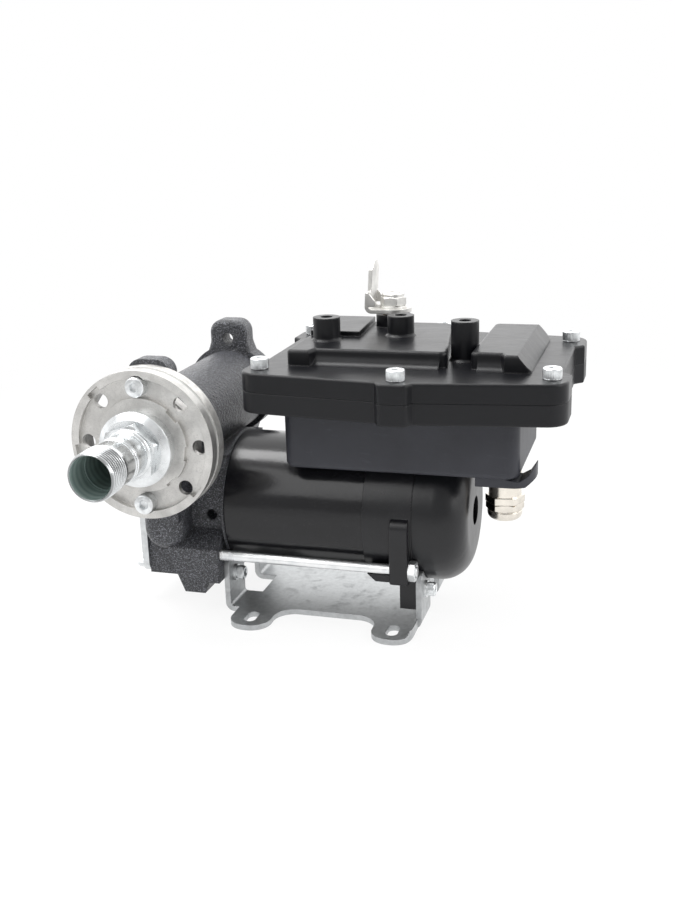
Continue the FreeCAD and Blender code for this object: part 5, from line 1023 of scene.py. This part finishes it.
class PUMP_OT_studio(bpy.types.Operator):
    """Sets the floor, the lights and the camera"""

    bl_idname = "pump.studio"
    bl_label = "Studio"

    def execute(self, context):
        studio = context.scene.pump_studio
        self.floor()
        self.room(context.scene, studio.room, studio.room_front)
        self.lamp("key_light", (-0.75, -0.95, 1.15), wide=1.3, tall=1.1, power=studio.key)
        self.lamp("fill_light", (1.25, -0.15, 0.75), wide=0.6, tall=0.8, power=studio.fill)
        self.lamp("top_light", (-0.42, 0.02, 1.20), wide=0.9, tall=0.4, power=studio.top, overhead=True)
        self.camera(context.scene, studio)
        context.scene.view_settings.view_transform = "Standard"
        return {"FINISHED"}

    def floor(self):
        """A pale floor that takes the pump's shadow. To the camera and in gloss it is white, a
        little less so near the pump."""
        mesh = bmesh.new()
        bmesh.ops.create_grid(mesh, x_segments=8, y_segments=8, size=6.0)
        item = finish_mesh("studio_floor", mesh)
        f = Finish("studio_white")
        path = f.node("ShaderNodeLightPath")
        seen, glossy, clear = f.wires(path, "Is Camera Ray", "Is Glossy Ray", "Is Transmission Ray")
        x, y, _ = f.parts()
        far = f.ramp(f.distance(x, y) * MM, (0.30, 0.88), (0.85, 1.0))
        factor = f.maths("MAXIMUM", f.maths("MAXIMUM", seen, glossy), clear) * far
        pale = f.principled(Base_Color=FLOOR_WHITE, Roughness=0.8)
        glow = f.add("ShaderNodeEmission", None, {"Color": WHITE, "Strength": 1.0})
        shader = f.add("ShaderNodeMixShader", None, {0: factor, 1: pale, 2: glow})
        item.data.materials.append(f.show(shader))

    def room(self, scene, behind, front):
        """A pale room: white to the camera, and as a light brighter behind the pump than in front."""
        world = bpy.data.worlds.new("studio_room")
        scene.world = world
        world.use_nodes = True
        nodes = Nodes(world.node_tree)
        seen = nodes.add("ShaderNodeLightPath", output="Is Camera Ray")
        way = nodes.add("ShaderNodeTexCoord", output="Generated")
        depth = nodes.add("ShaderNodeSeparateXYZ", None, {0: way}, output="Y")
        light = nodes.add("ShaderNodeMapRange", {"interpolation_type": "SMOOTHSTEP"}, {
            "Value": depth, "From Min": -0.8, "From Max": 0.6, "To Min": front, "To Max": behind})
        strength = nodes.add("ShaderNodeMix", {"data_type": "FLOAT"}, {0: seen, 2: light, 3: 1.0})
        back = nodes.add("ShaderNodeBackground", None, {"Color": WHITE, "Strength": strength})
        nodes.node("ShaderNodeOutputWorld", None, {"Surface": back})

    def lamp(self, name, place, wide, tall, power, overhead=False):
        """A soft rectangular lamp. One that is overhead keeps its long side along the pump."""
        data = bpy.data.lights.new(name, "AREA")
        data.shape = "RECTANGLE"
        data.size = wide
        data.size_y = tall
        data.energy = power
        item = bpy.data.objects.new(name, data)
        item.location = place
        away = Vector(place) - PUMP_MIDDLE
        turn = Vector((0, 0, 1)).rotation_difference(away) if overhead else away.to_track_quat("Z", "Y")
        item.rotation_euler = turn.to_euler()
        bpy.context.scene.collection.objects.link(item)

    def camera(self, scene, studio):
        """The camera, where the photograph was taken from."""
        data = bpy.data.cameras.new("photo_view")
        data.lens = studio.lens
        data.sensor_width = 36.0
        item = bpy.data.objects.new("photo_view", data)
        turn, lift, roll = studio.turn, studio.lift, studio.roll
        back = Vector((math.sin(turn) * math.cos(lift), -math.cos(turn) * math.cos(lift), math.sin(lift)))
        right = Vector((math.cos(turn), math.sin(turn), 0.0))
        up = back.cross(right)
        across = right * math.cos(roll) + up * math.sin(roll)
        above = up * math.cos(roll) - right * math.sin(roll)
        matrix = Matrix((across, above, back)).transposed().to_4x4()
        matrix.translation = studio.place
        item.matrix_world = matrix
        scene.collection.objects.link(item)
        scene.camera = item


OPERATORS = [
    PUMP_OT_castings, PUMP_OT_motor, PUMP_OT_inlet, PUMP_OT_bracket, PUMP_OT_screws,
    PUMP_OT_switch_box, PUMP_OT_lever, PUMP_OT_gland, PUMP_OT_inner_parts, PUMP_OT_studio,
]
GROUPS = {"pump_colours": PumpColours, "pump_sizes": PumpSizes, "pump_studio": PumpStudio}


class PUMP_PT_panel(bpy.types.Panel):
    """Lists the pump's steps, colours and sizes"""

    bl_idname = "PUMP_PT_panel"
    bl_label = "Fuel transfer pump"
    bl_space_type = "VIEW_3D"
    bl_region_type = "UI"
    bl_category = "Pump"

    def draw(self, context):
        for operator in OPERATORS:
            self.layout.operator(operator.bl_idname)
        for group, kind in GROUPS.items():
            column = self.layout.column()
            for name in kind.__annotations__:
                column.prop(getattr(context.scene, group), name)


def register():
    for group in GROUPS.values():
        bpy.utils.register_class(group)
    for name, group in GROUPS.items():
        setattr(bpy.types.Scene, name, bpy.props.PointerProperty(type=group))
    for operator in OPERATORS:
        bpy.utils.register_class(operator)
    bpy.utils.register_class(PUMP_PT_panel)


def unregister():
    bpy.utils.unregister_class(PUMP_PT_panel)
    for operator in reversed(OPERATORS):
        bpy.utils.unregister_class(operator)
    for name in GROUPS:
        delattr(bpy.types.Scene, name)
    for group in reversed(list(GROUPS.values())):
        bpy.utils.unregister_class(group)


def main():
    register()
    for operator in OPERATORS:
        group, name = operator.bl_idname.split(".")
        getattr(getattr(bpy.ops, group), name)()


if __name__ == "__main__":
    main()
